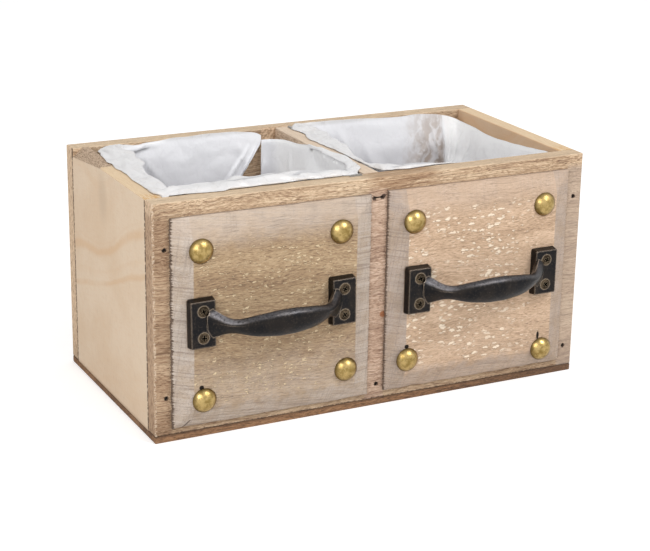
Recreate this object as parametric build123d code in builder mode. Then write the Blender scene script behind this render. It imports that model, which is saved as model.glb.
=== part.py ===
"""Wooden planter case made to look like a pair of drawers.

Six boards make an open case with two compartments. Two bevelled drawer faces are fixed to the front board, each
with a cast iron pull on four screws and four brass dome nails. A film liner is stapled into each compartment.

Millimetres. +X runs to the right along the front, +Y to the back and +Z up. The origin is the centre of the
underside of the base board.
"""

import os
from math import cos, radians, sin

from build123d import *

# ---------------------------------------------------------------------------------------------------------------
# Driving dimensions
# ---------------------------------------------------------------------------------------------------------------

# Case
CASE_LENGTH = 260.0
CASE_DEPTH = 132.0
CASE_HEIGHT = 131.0
BOARD_T = 10.0  # front and back boards, which run the whole length
SIDE_T = 9.5  # side panels, set between the front and back boards
DIVIDER_T = 9.0
BASE_T = 4.0  # the base board lies under all the walls
ARRIS = 0.6  # sanded edges
PLANED_RUN = 54.0  # the left panel's top corner is planed off towards the back
PLANED_DROP = 5.2
PLANED_INSET = 6.0

# Drawer faces
FACE_WIDTH = 116.0
FACE_HEIGHT = 115.0
FACE_EDGE = 2.0  # thickness at the rim, where the bevel starts
FACE_T = 7.0
FACE_BEVEL = 11.0
FACE_CENTRES = {"left": (-63.4, 65.2), "right": (62.1, 65.8)}  # X and Z

# Pulls: stations of the bar are distance from the middle, stand-off, height and thickness
PULL_CENTRES = {"left": (-66.3, 67.6), "right": (60.9, 67.6)}
PULL_TILT = {"left": 0.8, "right": 0.0}  # degrees, right end up
PLATE_WIDTH = 15.2
PLATE_HEIGHT = 27.0
PLATE_T = 4.5
PLATE_DRAFT = 10.0  # degrees, so the plates are smaller at their fronts
PLATE_CORNER = 1.4
PLATE_EDGE = 0.5
SCREW_SPACING_X = 81.2
SCREW_SPACING_Z = 14.5
BAR_STATIONS = [
    # along, out, height, thickness, slope in degrees, roundness of the section
    (0.0, 18.6, 14.2, 7.4, 0.0, 0.80),
    (8.0, 18.4, 13.6, 7.2, 3.0, 0.78),
    (15.5, 17.6, 11.9, 6.7, 9.0, 0.74),
    (21.5, 16.0, 9.6, 6.3, 20.0, 0.70),
    (26.0, 13.6, 8.0, 6.2, 34.0, 0.62),
    (30.0, 10.2, 9.4, 6.2, 44.0, 0.56),
    (33.5, 6.4, 13.6, 6.4, 48.0, 0.52),
    (36.5, 3.0, 18.8, 6.6, 50.0, 0.50),
]

BAR_RIDGE_RISE = 0.25  # how far the front ridge lies above the middle, as a share of the half height

# Fasteners
SCREW_HEAD_D = 6.2
SCREW_HEAD_T = 1.7
SCREW_DOME = 0.5
SCREW_SHANK_D = 3.0
SCREW_LENGTH = 16.0
SCREW_CLEARANCE_D = 3.4  # the hole through the pull's plate
RECESS_WIDTH = 0.9
RECESS_LENGTH = 3.4
RECESS_DEPTH = 1.5
RECESS_TAPER = 10.0
DOME_D = 13.4
DOME_HEIGHT = 4.4
DOME_WALL = 0.7
DOME_LIP = 0.5
DOME_SHANK_D = 2.0
DOME_SHANK_LENGTH = 12.0
DOME_PLACES = {
    "left": [(-106.2, 105.4), (-26.0, 105.9), (-104.9, 23.5), (-22.1, 27.5)],
    "right": [(18.3, 106.0), (101.0, 106.3), (16.0, 26.9), (103.7, 19.8)],
}
BRAD_HEAD_D = 2.2
BRAD_HEAD_T = 0.8
BRAD_SHANK_D = 1.4
BRAD_LENGTH = 25.0
BRAD_SINK = 1.0  # the heads lie this far under the surface
FRONT_BRADS = [(-123.6, 105.9), (-123.5, 24.9), (0.7, 12.6), (124.9, 106.4), (124.0, 16.2)]
BACK_BRADS = [(-125.0, 104.0), (-125.0, 26.0), (0.0, 110.0), (0.0, 22.0), (125.0, 104.0), (125.0, 26.0)]
FACE_BRADS = {"left": [(-106.3, 31.8)], "right": [(16.4, 35.2), (101.8, 28.7)]}
FACE_BRAD_LENGTH = 14.0
BASE_BRAD_INSET = 5.0  # from the case's outer faces
FRONT_STAPLE_AT = (-0.6, 119.9)
FRONT_STAPLE_CROWN = 5.8
FRONT_STAPLE_LEG = 19.0
STAPLE_WIRE = 1.0

# Liners
LINER_GAP = 0.5  # between the film and the wood
LINER_FILM = 0.6
LINER_TAPER = 3.0  # each wall leans in by this much at the bottom
LINER_CORNER = 9.0
HEM_T = 4.0
HEM_HEIGHT = 9.0
LINER_RIMS = {  # rim height at the front, back, left and right of the liner
    "left": (134.0, 129.0, 132.5, 131.5),
    "right": (132.0, 131.0, 133.0, 127.0),
}
LINER_STAPLE_CROWN = 7.0
LINER_STAPLE_LEG = 9.0
LINER_STAPLE_Z = 125.5
FRONT_LINER_STAPLES = {"left": (-98.0, -36.0), "right": (42.0, 98.0)}  # X, in the front board's inner face
SIDE_LINER_STAPLES = (-26.0, 30.0)  # Y, in the face at the left of each compartment
TOP_LINER_STAPLES = {"left": (-10.8, -59.0, 0.0), "right": (3.0, 50.5, 90.0)}  # X, Y and turn, in the boards' tops

# ---------------------------------------------------------------------------------------------------------------
# Worked out from the dimensions above
# ---------------------------------------------------------------------------------------------------------------

WALL_HEIGHT = CASE_HEIGHT - BASE_T
WALL_MIDDLE = BASE_T + WALL_HEIGHT / 2
FRONT_Y = -CASE_DEPTH / 2
BACK_Y = CASE_DEPTH / 2
INNER_DEPTH = CASE_DEPTH - 2 * BOARD_T
SIDE_X = (CASE_LENGTH - SIDE_T) / 2
FIELD_Y = FRONT_Y - FACE_T  # the flat middle of a drawer face
PULL_FACE_Y = FIELD_Y - PLATE_T
ROOM_WIDTH = CASE_LENGTH / 2 - SIDE_T - DIVIDER_T / 2
ROOM_X = {"left": -(DIVIDER_T + ROOM_WIDTH) / 2, "right": (DIVIDER_T + ROOM_WIDTH) / 2}
SIDES = ("left", "right")


def facing_front(x, z, y):
    """A place on a plane that faces the front, from which local -Z runs into the wood."""
    return Location((x, y, z), (90, 0, 0))


def facing_back(x, z, y):
    """A place on a plane that faces the back, from which local -Z runs into the wood."""
    return Location((x, y, z), (-90, 0, 0))


def finish(piece, name):
    """Labels a finished piece and writes it under its own name."""
    piece.part.label = name
    os.makedirs("parts", exist_ok=True)
    export_step(piece.part, f"parts/{name}.step")


# ---------------------------------------------------------------------------------------------------------------
# Fastener blanks: each points down local -Z with its seat at the origin
# ---------------------------------------------------------------------------------------------------------------


def brad_blank(length):
    """A thin nail with a small flat head."""
    with BuildPart() as brad:
        with BuildSketch(Plane.XZ):
            with BuildLine():
                Polyline(
                    (0, 0),
                    (BRAD_HEAD_D / 2, 0),
                    (BRAD_HEAD_D / 2, -BRAD_HEAD_T),
                    (BRAD_SHANK_D / 2, -BRAD_HEAD_T),
                    (BRAD_SHANK_D / 2, BRAD_SHANK_D - length),
                    (0, -length),
                    close=True,
                )
            make_face()
        revolve(axis=Axis.Z)
    return brad.part


def staple_blank(crown, leg):
    """A square wire staple: its crown lies on local +Z and its legs go down local -Z, spread along local X."""
    with BuildPart() as staple:
        with Locations((0, 0, STAPLE_WIRE / 2)):
            Box(crown, STAPLE_WIRE, STAPLE_WIRE)
        leg_x = (crown - STAPLE_WIRE) / 2
        with Locations((-leg_x, 0, 0), (leg_x, 0, 0)):
            Box(STAPLE_WIRE, STAPLE_WIRE, leg, align=(Align.CENTER, Align.CENTER, Align.MAX))
        crown_ends = staple.edges().filter_by(Axis.Y).group_by(Axis.Z)[-1]
        fillet(crown_ends, STAPLE_WIRE * 0.6)
    return staple.part


def cap_profile(radius, height):
    """Half the section of a domed cap that stands on a short upright rim."""
    with BuildSketch(Plane.XZ) as profile:
        with BuildLine():
            Polyline((0, height), (0, 0), (radius, 0), (radius, DOME_LIP))
            TangentArc((0, height), (radius, DOME_LIP), tangent=(1, 0))
        make_face()
    return profile.sketch


def dome_nail_blank():
    """An upholstery nail: a hollow brass cap whose rim rests at local zero, on a pointed shank."""
    shank_radius = DOME_SHANK_D / 2
    with BuildPart() as nail:
        revolve(cap_profile(DOME_D / 2, DOME_HEIGHT), axis=Axis.Z)
        revolve(cap_profile(DOME_D / 2 - DOME_WALL, DOME_HEIGHT - DOME_WALL), axis=Axis.Z, mode=Mode.SUBTRACT)
        with BuildSketch(Plane.XZ):
            with BuildLine():
                Polyline(
                    (0, DOME_HEIGHT - DOME_WALL / 2),
                    (shank_radius, DOME_HEIGHT - DOME_WALL / 2),
                    (shank_radius, 3 * shank_radius - DOME_SHANK_LENGTH),
                    (0, -DOME_SHANK_LENGTH),
                    close=True,
                )
            make_face()
        revolve(axis=Axis.Z)
    return nail.part


def pull_screw_blank():
    """A countersunk screw with a low domed head and a cross recess, its head's rim at local zero."""
    head_radius = SCREW_HEAD_D / 2
    shank_radius = SCREW_SHANK_D / 2
    with BuildPart() as screw:
        with BuildSketch(Plane.XZ):
            with BuildLine():
                Polyline(
                    (0, SCREW_DOME),
                    (0, -SCREW_LENGTH),
                    (shank_radius, 2 * shank_radius - SCREW_LENGTH),
                    (shank_radius, -SCREW_HEAD_T),
                    (head_radius, 0),
                )
                TangentArc((0, SCREW_DOME), (head_radius, 0), tangent=(1, 0))
            make_face()
        revolve(axis=Axis.Z)
        with BuildSketch(Plane(origin=(0, 0, SCREW_DOME), z_dir=(0, 0, -1))):
            Rectangle(RECESS_LENGTH, RECESS_WIDTH)
            Rectangle(RECESS_WIDTH, RECESS_LENGTH)
        extrude(amount=RECESS_DEPTH, taper=RECESS_TAPER, mode=Mode.SUBTRACT)
    return screw.part


# ---------------------------------------------------------------------------------------------------------------
# Fasteners, each group in its own node
# ---------------------------------------------------------------------------------------------------------------


def group(blank, places):
    """Separate copies of one fastener at the given places."""
    with BuildPart() as copies:
        with Locations(*places):
            add(blank)
    return copies


case_brad = brad_blank(BRAD_LENGTH)
front_brads = group(case_brad, [facing_front(x, z, FRONT_Y + BRAD_SINK) for x, z in FRONT_BRADS])
back_brads = group(case_brad, [facing_back(x, z, BACK_Y - BRAD_SINK) for x, z in BACK_BRADS])

side_row_x = CASE_LENGTH / 2 - BASE_BRAD_INSET
long_row_y = CASE_DEPTH / 2 - BASE_BRAD_INSET
base_brad_points = [
    *[(x, y) for x in (-side_row_x, 0, side_row_x) for y in (-30, 30)],
    *[(x, y) for x in (-75, 75) for y in (-long_row_y, long_row_y)],
]
base_brads = group(case_brad, [Location((x, y, BRAD_SINK), (180, 0, 0)) for x, y in base_brad_points])

front_staple = group(
    staple_blank(FRONT_STAPLE_CROWN, FRONT_STAPLE_LEG),
    [facing_front(*FRONT_STAPLE_AT, FRONT_Y + BRAD_SINK + STAPLE_WIRE)],
)

face_brad = brad_blank(FACE_BRAD_LENGTH)
face_brads = {
    side: group(face_brad, [facing_front(x, z, FIELD_Y + BRAD_SINK) for x, z in FACE_BRADS[side]]) for side in SIDES
}
dome_nails = {
    side: group(dome_nail_blank(), [facing_front(x, z, FIELD_Y) for x, z in DOME_PLACES[side]]) for side in SIDES
}


def screw_places(side):
    """The four screws of a pull, at the corners of a rectangle turned with the pull."""
    centre_x, centre_z = PULL_CENTRES[side]
    turn = radians(PULL_TILT[side])
    places = []
    for number, (sx, sz) in enumerate([(-1, 1), (-1, -1), (1, 1), (1, -1)]):
        along = sx * SCREW_SPACING_X / 2
        up = sz * SCREW_SPACING_Z / 2
        x = centre_x + along * cos(turn) - up * sin(turn)
        z = centre_z + along * sin(turn) + up * cos(turn)
        head_turn = 20 + 65 * number  # driven home at different angles
        places.append(facing_front(x, z, PULL_FACE_Y) * Location((0, 0, 0), (0, 0, head_turn)))
    return places


pull_screws = {side: group(pull_screw_blank(), screw_places(side)) for side in SIDES}


def liner_staple_places(side):
    """The staples of a liner: two in the wall before it, two in the wall at its left, and one from above."""
    to_front = INNER_DEPTH / 2 - LINER_GAP - HEM_T
    to_left = ROOM_WIDTH / 2 - LINER_GAP - HEM_T
    places = []
    # local -Z runs outwards into the wood, local X along the rim
    for x in FRONT_LINER_STAPLES[side]:
        places.append(Plane(origin=(x, -to_front, LINER_STAPLE_Z), x_dir=(1, 0, 0), z_dir=(0, 1, 0)).location)
    for y in SIDE_LINER_STAPLES:
        at_left = (ROOM_X[side] - to_left, y, LINER_STAPLE_Z)
        places.append(Plane(origin=at_left, x_dir=(0, 1, 0), z_dir=(1, 0, 0)).location)
    x, y, turn = TOP_LINER_STAPLES[side]
    places.append(Location((x, y, CASE_HEIGHT), (0, 0, turn)))
    return places


liner_staples = {
    side: group(staple_blank(LINER_STAPLE_CROWN, LINER_STAPLE_LEG), liner_staple_places(side)) for side in SIDES
}

# ---------------------------------------------------------------------------------------------------------------
# Case boards
# ---------------------------------------------------------------------------------------------------------------

with BuildPart() as base_board:
    with Locations((0, 0, BASE_T / 2)):
        Box(CASE_LENGTH, CASE_DEPTH, BASE_T)
    fillet(base_board.edges(), ARRIS)
    add(base_brads.part, mode=Mode.SUBTRACT)
    with Locations(*[Location((x, y, 0), (180, 0, 0)) for x, y in base_brad_points]):
        Hole(BRAD_HEAD_D / 2, depth=BRAD_SINK)

with BuildPart() as front_board:
    with Locations((0, FRONT_Y + BOARD_T / 2, WALL_MIDDLE)):
        Box(CASE_LENGTH, BOARD_T, WALL_HEIGHT)
    fillet(front_board.edges(), ARRIS)
    with Locations(*[facing_front(x, z, FRONT_Y) for x, z in FRONT_BRADS]):
        Hole(BRAD_HEAD_D / 2, depth=BRAD_SINK)
    with Locations(facing_front(*FRONT_STAPLE_AT, FRONT_Y)):
        Box(FRONT_STAPLE_CROWN, STAPLE_WIRE, 2 * (BRAD_SINK + STAPLE_WIRE), mode=Mode.SUBTRACT)
    for fasteners in (front_brads, front_staple, base_brads, *face_brads.values(), *dome_nails.values()):
        add(fasteners.part, mode=Mode.SUBTRACT)
    for fasteners in (*pull_screws.values(), *liner_staples.values()):
        add(fasteners.part, mode=Mode.SUBTRACT)

with BuildPart() as back_board:
    with Locations((0, BACK_Y - BOARD_T / 2, WALL_MIDDLE)):
        Box(CASE_LENGTH, BOARD_T, WALL_HEIGHT)
    fillet(back_board.edges(), ARRIS)
    with Locations(*[facing_back(x, z, BACK_Y) for x, z in BACK_BRADS]):
        Hole(BRAD_HEAD_D / 2, depth=BRAD_SINK)
    for fasteners in (back_brads, base_brads):
        add(fasteners.part, mode=Mode.SUBTRACT)

with BuildPart() as left_side_panel:
    with Locations((-SIDE_X, 0, WALL_MIDDLE)):
        Box(SIDE_T, INNER_DEPTH, WALL_HEIGHT)
    outer_x = -CASE_LENGTH / 2
    corner_y = INNER_DEPTH / 2
    planed = Plane(
        Face(
            Wire.make_polygon(
                [
                    (outer_x + PLANED_INSET, corner_y, CASE_HEIGHT),
                    (outer_x, corner_y, CASE_HEIGHT - PLANED_DROP),
                    (outer_x, corner_y - PLANED_RUN, CASE_HEIGHT),
                ]
            )
        )
    )
    split(bisect_by=planed, keep=Keep.BOTTOM if planed.z_dir.Z > 0 else Keep.TOP)
    for fasteners in (front_brads, back_brads, base_brads, liner_staples["left"]):
        add(fasteners.part, mode=Mode.SUBTRACT)

with BuildPart() as right_side_panel:
    with Locations((SIDE_X, 0, WALL_MIDDLE)):
        Box(SIDE_T, INNER_DEPTH, WALL_HEIGHT)
    fillet(right_side_panel.edges().filter_by(Axis.Y), ARRIS)
    for fasteners in (front_brads, back_brads, base_brads):
        add(fasteners.part, mode=Mode.SUBTRACT)

with BuildPart() as centre_divider:
    with Locations((0, 0, WALL_MIDDLE)):
        Box(DIVIDER_T, INNER_DEPTH, WALL_HEIGHT)
    fillet(centre_divider.edges().filter_by(Axis.Y).group_by(Axis.Z)[-1], ARRIS)
    for fasteners in (front_brads, back_brads, base_brads, front_staple, liner_staples["right"]):
        add(fasteners.part, mode=Mode.SUBTRACT)

# ---------------------------------------------------------------------------------------------------------------
# Drawer faces
# ---------------------------------------------------------------------------------------------------------------


def drawer_face(side):
    """A bevelled panel glued to the front board, with holes for what is driven through it."""
    centre_x, centre_z = FACE_CENTRES[side]
    rear = Plane(origin=(centre_x, FRONT_Y, centre_z), x_dir=(1, 0, 0), z_dir=(0, -1, 0))
    with BuildPart() as face:
        with BuildSketch(rear):
            Rectangle(FACE_WIDTH, FACE_HEIGHT)
        extrude(amount=FACE_EDGE)
        with BuildSketch(rear.offset(FACE_EDGE)):
            Rectangle(FACE_WIDTH, FACE_HEIGHT)
        with BuildSketch(rear.offset(FACE_T)):
            Rectangle(FACE_WIDTH - 2 * FACE_BEVEL, FACE_HEIGHT - 2 * FACE_BEVEL)
        loft()
        with Locations(*[facing_front(x, z, FIELD_Y) for x, z in FACE_BRADS[side]]):
            Hole(BRAD_HEAD_D / 2, depth=BRAD_SINK)
        for fasteners in (face_brads[side], dome_nails[side], pull_screws[side]):
            add(fasteners.part, mode=Mode.SUBTRACT)
    return face


drawer_faces = {side: drawer_face(side) for side in SIDES}

# ---------------------------------------------------------------------------------------------------------------
# Cast pulls: built lying on local XY, the bar's length along X, its height along Y and local +Z out of the face
# ---------------------------------------------------------------------------------------------------------------


def bar_section(plane, half_height, half_thickness, roundness):
    """A lens of four arcs with soft ridges, where a roundness of 1 is a smooth oval and 0 a diamond."""
    bulge = 0.5 + (cos(radians(45)) - 0.5) * roundness
    ridge = (half_height * BAR_RIDGE_RISE, half_thickness)
    corners = [(half_height, 0), ridge, (-half_height, 0), (0, -half_thickness)]
    with BuildSketch(plane) as section:
        with BuildLine():
            for (x1, y1), (x2, y2) in zip(corners, corners[1:] + corners[:1]):
                ThreePointArc((x1, y1), ((x1 + x2) * bulge, (y1 + y2) * bulge), (x2, y2))
        make_face()
    return section.sketch


def pull_blank():
    """Two drilled plates joined by an arched bar that flares at its roots and swells into a grip."""
    bar_sections = []
    for side, stations in ((-1, BAR_STATIONS[:0:-1]), (1, BAR_STATIONS)):
        for along, out, tall, thick, slope, roundness in stations:
            lean = side * radians(slope)
            across_bar = Plane(origin=(side * along, 0, out), x_dir=(0, 1, 0), z_dir=(cos(lean), 0, -sin(lean)))
            bar_sections.append(bar_section(across_bar, tall / 2, thick / 2, roundness))
    with BuildPart() as pull:
        with BuildSketch():
            with GridLocations(SCREW_SPACING_X, 0, 2, 1):
                RectangleRounded(PLATE_WIDTH, PLATE_HEIGHT, PLATE_CORNER)
        extrude(amount=PLATE_T, taper=PLATE_DRAFT)
        fillet(pull.faces().sort_by(Axis.Z)[-2:].edges(), PLATE_EDGE)
        loft(bar_sections)
        with Locations((0, 0, PLATE_T)):
            with GridLocations(SCREW_SPACING_X, SCREW_SPACING_Z, 2, 2):
                Hole(SCREW_CLEARANCE_D / 2)
                Cone(
                    SCREW_CLEARANCE_D / 2,
                    SCREW_HEAD_D / 2,
                    SCREW_HEAD_T * (SCREW_HEAD_D - SCREW_CLEARANCE_D) / (SCREW_HEAD_D - SCREW_SHANK_D),
                    align=(Align.CENTER, Align.CENTER, Align.MAX),
                    mode=Mode.SUBTRACT,
                )
                Cylinder(
                    SCREW_HEAD_D / 2, PLATE_T, align=(Align.CENTER, Align.CENTER, Align.MIN), mode=Mode.SUBTRACT
                )
    return pull.part


def pull(side):
    centre_x, centre_z = PULL_CENTRES[side]
    place = facing_front(centre_x, centre_z, FIELD_Y) * Location((0, 0, 0), (0, 0, PULL_TILT[side]))
    return group(pull_blank(), [place])


pulls = {side: pull(side) for side in SIDES}

# ---------------------------------------------------------------------------------------------------------------
# Film liners
# ---------------------------------------------------------------------------------------------------------------


def liner(side):
    """A bag of film that lines a compartment, with its top folded over into a thicker hem."""
    front_rim, back_rim, left_rim, right_rim = LINER_RIMS[side]
    top = max(LINER_RIMS[side]) + 1
    floor = BASE_T + LINER_GAP
    width = ROOM_WIDTH - 2 * LINER_GAP
    depth = INNER_DEPTH - 2 * LINER_GAP
    middle = (ROOM_X[side], 0)
    with BuildPart() as bag:
        with BuildSketch(Plane.XY.offset(floor)):
            with Locations(middle):
                RectangleRounded(width - 2 * LINER_TAPER, depth - 2 * LINER_TAPER, LINER_CORNER)
        with BuildSketch(Plane.XY.offset(top)):
            with Locations(middle):
                RectangleRounded(width, depth, LINER_CORNER)
        loft()
        offset(amount=-LINER_FILM, openings=bag.faces().sort_by(Axis.Z)[-1])
        hem_bottom = LINER_STAPLE_Z - STAPLE_WIRE - HEM_HEIGHT / 4
        with BuildSketch(Plane.XY.offset(hem_bottom)):
            with Locations(middle):
                RectangleRounded(width - 0.2, depth - 0.2, LINER_CORNER)
                RectangleRounded(width - 2 * HEM_T, depth - 2 * HEM_T, LINER_CORNER - HEM_T, mode=Mode.SUBTRACT)
        extrude(amount=top - hem_bottom)
        x_rise = (right_rim - left_rim) / ROOM_WIDTH
        y_rise = (back_rim - front_rim) / INNER_DEPTH
        rim_height = (front_rim + back_rim + left_rim + right_rim) / 4
        rim = Plane(origin=(*middle, rim_height), z_dir=(-x_rise, -y_rise, 1))
        split(bisect_by=rim, keep=Keep.BOTTOM)
        add(liner_staples[side].part, mode=Mode.SUBTRACT)
    return bag


liners = {side: liner(side) for side in SIDES}

# ---------------------------------------------------------------------------------------------------------------
# One file for each node
# ---------------------------------------------------------------------------------------------------------------

finish(base_board, "base_board")
finish(front_board, "front_board")
finish(back_board, "back_board")
finish(left_side_panel, "left_side_panel")
finish(right_side_panel, "right_side_panel")
finish(centre_divider, "centre_divider")
finish(front_brads, "front_brads")
finish(back_brads, "back_brads")
finish(base_brads, "base_brads")
finish(front_staple, "front_staple")
for side in SIDES:
    finish(drawer_faces[side], f"{side}_drawer_face")
    finish(face_brads[side], f"{side}_face_brads")
    finish(dome_nails[side], f"{side}_dome_nails")
    finish(pulls[side], f"{side}_pull")
    finish(pull_screws[side], f"{side}_pull_screws")
    finish(liners[side], f"{side}_liner")
    finish(liner_staples[side], f"{side}_liner_staples")
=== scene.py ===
import random
from math import cos, pi, radians, sin

import bpy
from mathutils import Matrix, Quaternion, Vector, noise


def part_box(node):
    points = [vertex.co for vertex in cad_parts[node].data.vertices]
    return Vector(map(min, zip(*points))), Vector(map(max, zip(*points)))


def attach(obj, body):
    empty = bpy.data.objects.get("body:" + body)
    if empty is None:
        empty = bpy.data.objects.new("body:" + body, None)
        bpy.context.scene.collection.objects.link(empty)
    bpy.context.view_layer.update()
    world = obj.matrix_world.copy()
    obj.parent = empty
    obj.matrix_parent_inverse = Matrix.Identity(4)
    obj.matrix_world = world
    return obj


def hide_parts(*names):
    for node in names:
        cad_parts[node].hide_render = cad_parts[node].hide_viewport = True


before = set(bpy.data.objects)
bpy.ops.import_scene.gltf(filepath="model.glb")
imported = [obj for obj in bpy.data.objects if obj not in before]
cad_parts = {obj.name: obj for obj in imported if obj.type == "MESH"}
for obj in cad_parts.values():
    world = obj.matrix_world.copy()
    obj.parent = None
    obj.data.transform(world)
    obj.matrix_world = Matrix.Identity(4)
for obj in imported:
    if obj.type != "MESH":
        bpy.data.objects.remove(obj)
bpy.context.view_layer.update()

# ----------------------------------------------------------------------
# The camera: a long lens in front of the box's left half, looking down on it a little, so that the front,
# the left end and the open top all show.
# ----------------------------------------------------------------------

LENS = 97.25  # millimetres, on a sensor 36 mm wide
CAMERA_AZIMUTH = radians(-26.88)
CAMERA_ELEVATION = radians(18.49)
CAMERA_ROLL = radians(0.94)
CAMERA_DISTANCE = 1.0111
CAMERA_TARGET = Vector((0, 0, 0.065))
CAMERA_STEP_RIGHT = 0.0012
CAMERA_STEP_UP = -0.0089

towards_camera = Vector(
    (
        sin(CAMERA_AZIMUTH) * cos(CAMERA_ELEVATION),
        -cos(CAMERA_AZIMUTH) * cos(CAMERA_ELEVATION),
        sin(CAMERA_ELEVATION),
    )
)
camera_turn = towards_camera.to_track_quat("Z", "Y") @ Quaternion((0, 0, 1), CAMERA_ROLL)
camera_place = CAMERA_TARGET + CAMERA_DISTANCE * towards_camera
camera_place += camera_turn @ Vector((CAMERA_STEP_RIGHT, CAMERA_STEP_UP, 0))
bpy.ops.object.camera_add(location=camera_place, rotation=camera_turn.to_euler())
camera = bpy.context.object
camera.data.lens = LENS
camera.data.sensor_width = 36
bpy.context.scene.camera = camera
bpy.context.scene.view_settings.view_transform = "Standard"

# ----------------------------------------------------------------------
# The studio: a white table that runs out of sight, a large soft lamp above and to the right of the camera, a
# weaker one on the left, and an even white surround. Cameras and mirrors see the surround as plain white.
# ----------------------------------------------------------------------


class Value:
    """One output in a shader, on which Python's own operators add Math nodes."""

    def __init__(self, shader, socket):
        self.shader = shader
        self.socket = socket

    def maths(self, operation, first, second=0.0):
        return self.shader.node("Math", {"operation": operation}, {0: first, 1: second})

    def __add__(self, other):
        return self.maths("ADD", self, other)

    def __sub__(self, other):
        return self.maths("SUBTRACT", self, other)

    def __rsub__(self, other):
        return self.maths("SUBTRACT", other, self)

    def __mul__(self, other):
        return self.maths("MULTIPLY", self, other)

    def __truediv__(self, other):
        return self.maths("DIVIDE", self, other)

    def __pow__(self, other):
        return self.maths("POWER", self, other)

    def __abs__(self):
        return self.maths("ABSOLUTE", self)

    __radd__ = __add__
    __rmul__ = __mul__


class Shader:
    """A node tree that is being drawn up, and the nodes that more than one finish uses."""

    def __init__(self, tree):
        self.tree = tree

    def node(self, kind, settings=None, inputs=None, output=0):
        """Adds a node: its settings are made first, then its sockets get their values or links."""
        made = self.tree.nodes.new("ShaderNode" + kind)
        for name, setting in (settings or {}).items():
            if name == "stops":
                while len(made.color_ramp.elements) < len(setting):
                    made.color_ramp.elements.new(1.0)
                for element, (place, colour) in zip(made.color_ramp.elements, setting):
                    element.position = place
                    element.color = (*colour, 1.0)
            else:
                setattr(made, name, setting)
        for name, value in (inputs or {}).items():
            if isinstance(value, Value):
                self.tree.links.new(value.socket, made.inputs[name])
            else:
                made.inputs[name].default_value = value
        return Value(self, made.outputs[output])

    def step(self, value, low, high):
        """Rises smoothly from 0 at low to 1 at high, or falls if high is the smaller."""
        if low > high:
            return 1.0 - self.step(value, high, low)
        ends = {"Value": value, "From Min": low, "From Max": high}
        return self.node("MapRange", {"interpolation_type": "SMOOTHSTEP"}, ends)

    def largest(self, first, second):
        return self.node("Math", {"operation": "MAXIMUM"}, {0: first, 1: second})

    def mix(self, share, first, second, blend="MIX"):
        """Mixes two colours, each given as three numbers or as a link."""
        first, second = (c if isinstance(c, Value) else (*c, 1.0) for c in (first, second))
        kind = {"data_type": "RGBA", "blend_type": blend}
        return self.node("Mix", kind, {0: share, 6: first, 7: second}, output=2)

    def noise(self, place, scale, detail=3.0, roughness=0.55):
        """Noise from 0 to 1 whose scale is given for X, Y and Z in features a metre."""
        stretched = self.node("Mapping", {}, {"Vector": place, "Scale": scale})
        inputs = {"Vector": stretched, "Scale": 1.0, "Detail": detail, "Roughness": roughness}
        return self.node("TexNoise", {}, inputs)


TABLE_WIDTH = 6
TABLE_WHITE = (0.93, 0.93, 0.93, 1.0)
TABLE_GLOW = 0.35  # what the camera sees on top of the lit table
WHITE = (1.0, 1.0, 1.0, 1.0)
SURROUND_LIGHT = 0.60

table_white = bpy.data.materials.new("table_white")
table_white.use_nodes = True
table_shader = Shader(table_white.node_tree)
table_surface = table_white.node_tree.nodes["Principled BSDF"]
table_surface.inputs["Base Color"].default_value = TABLE_WHITE
table_surface.inputs["Roughness"].default_value = 0.9
table_surface.inputs["Specular IOR Level"].default_value = 0.0
table_surface.inputs["Emission Color"].default_value = WHITE
seen_by_camera = table_shader.node("LightPath")
table_glow = (seen_by_camera * TABLE_GLOW).socket
table_white.node_tree.links.new(table_glow, table_surface.inputs["Emission Strength"])
bpy.ops.mesh.primitive_plane_add(size=TABLE_WIDTH)
table_top = bpy.context.object
table_top.name = "table_top"
table_top.data.materials.append(table_white)

surround = bpy.data.worlds.new("surround")
bpy.context.scene.world = surround
surround.use_nodes = True
surround_shader = Shader(surround.node_tree)
camera_ray = surround_shader.node("LightPath")
glossy_ray = surround_shader.node("LightPath", output="Is Glossy Ray")
through_ray = surround_shader.node("LightPath", output="Is Transmission Ray")
seen_directly = surround_shader.largest(camera_ray, surround_shader.largest(glossy_ray, through_ray))
background = surround.node_tree.nodes["Background"]
background.inputs["Color"].default_value = WHITE
surround_strength = SURROUND_LIGHT + seen_directly * (1.0 - SURROUND_LIGHT)
surround.node_tree.links.new(surround_strength.socket, background.inputs["Strength"])


def add_soft_lamp(name, place, width, power):
    """A square area lamp that faces the middle of the box."""
    aim = (CAMERA_TARGET - Vector(place)).to_track_quat("-Z", "Y")
    bpy.ops.object.light_add(type="AREA", location=place, rotation=aim.to_euler())
    lamp = bpy.context.object
    lamp.name = name
    lamp.data.size = width
    lamp.data.energy = power


add_soft_lamp("lamp_above_right", (0.65, -0.95, 1.2), 0.6, 10.0)
add_soft_lamp("lamp_left", (-1.0, -0.95, 0.85), 0.7, 9.2)

# ----------------------------------------------------------------------
# Front board: one rough-sawn softwood board across the whole front, 10 mm thick. The saw left fine marks in
# it, brads and a staple left dark holes, and its ends are open end grain.
# ----------------------------------------------------------------------

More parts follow.
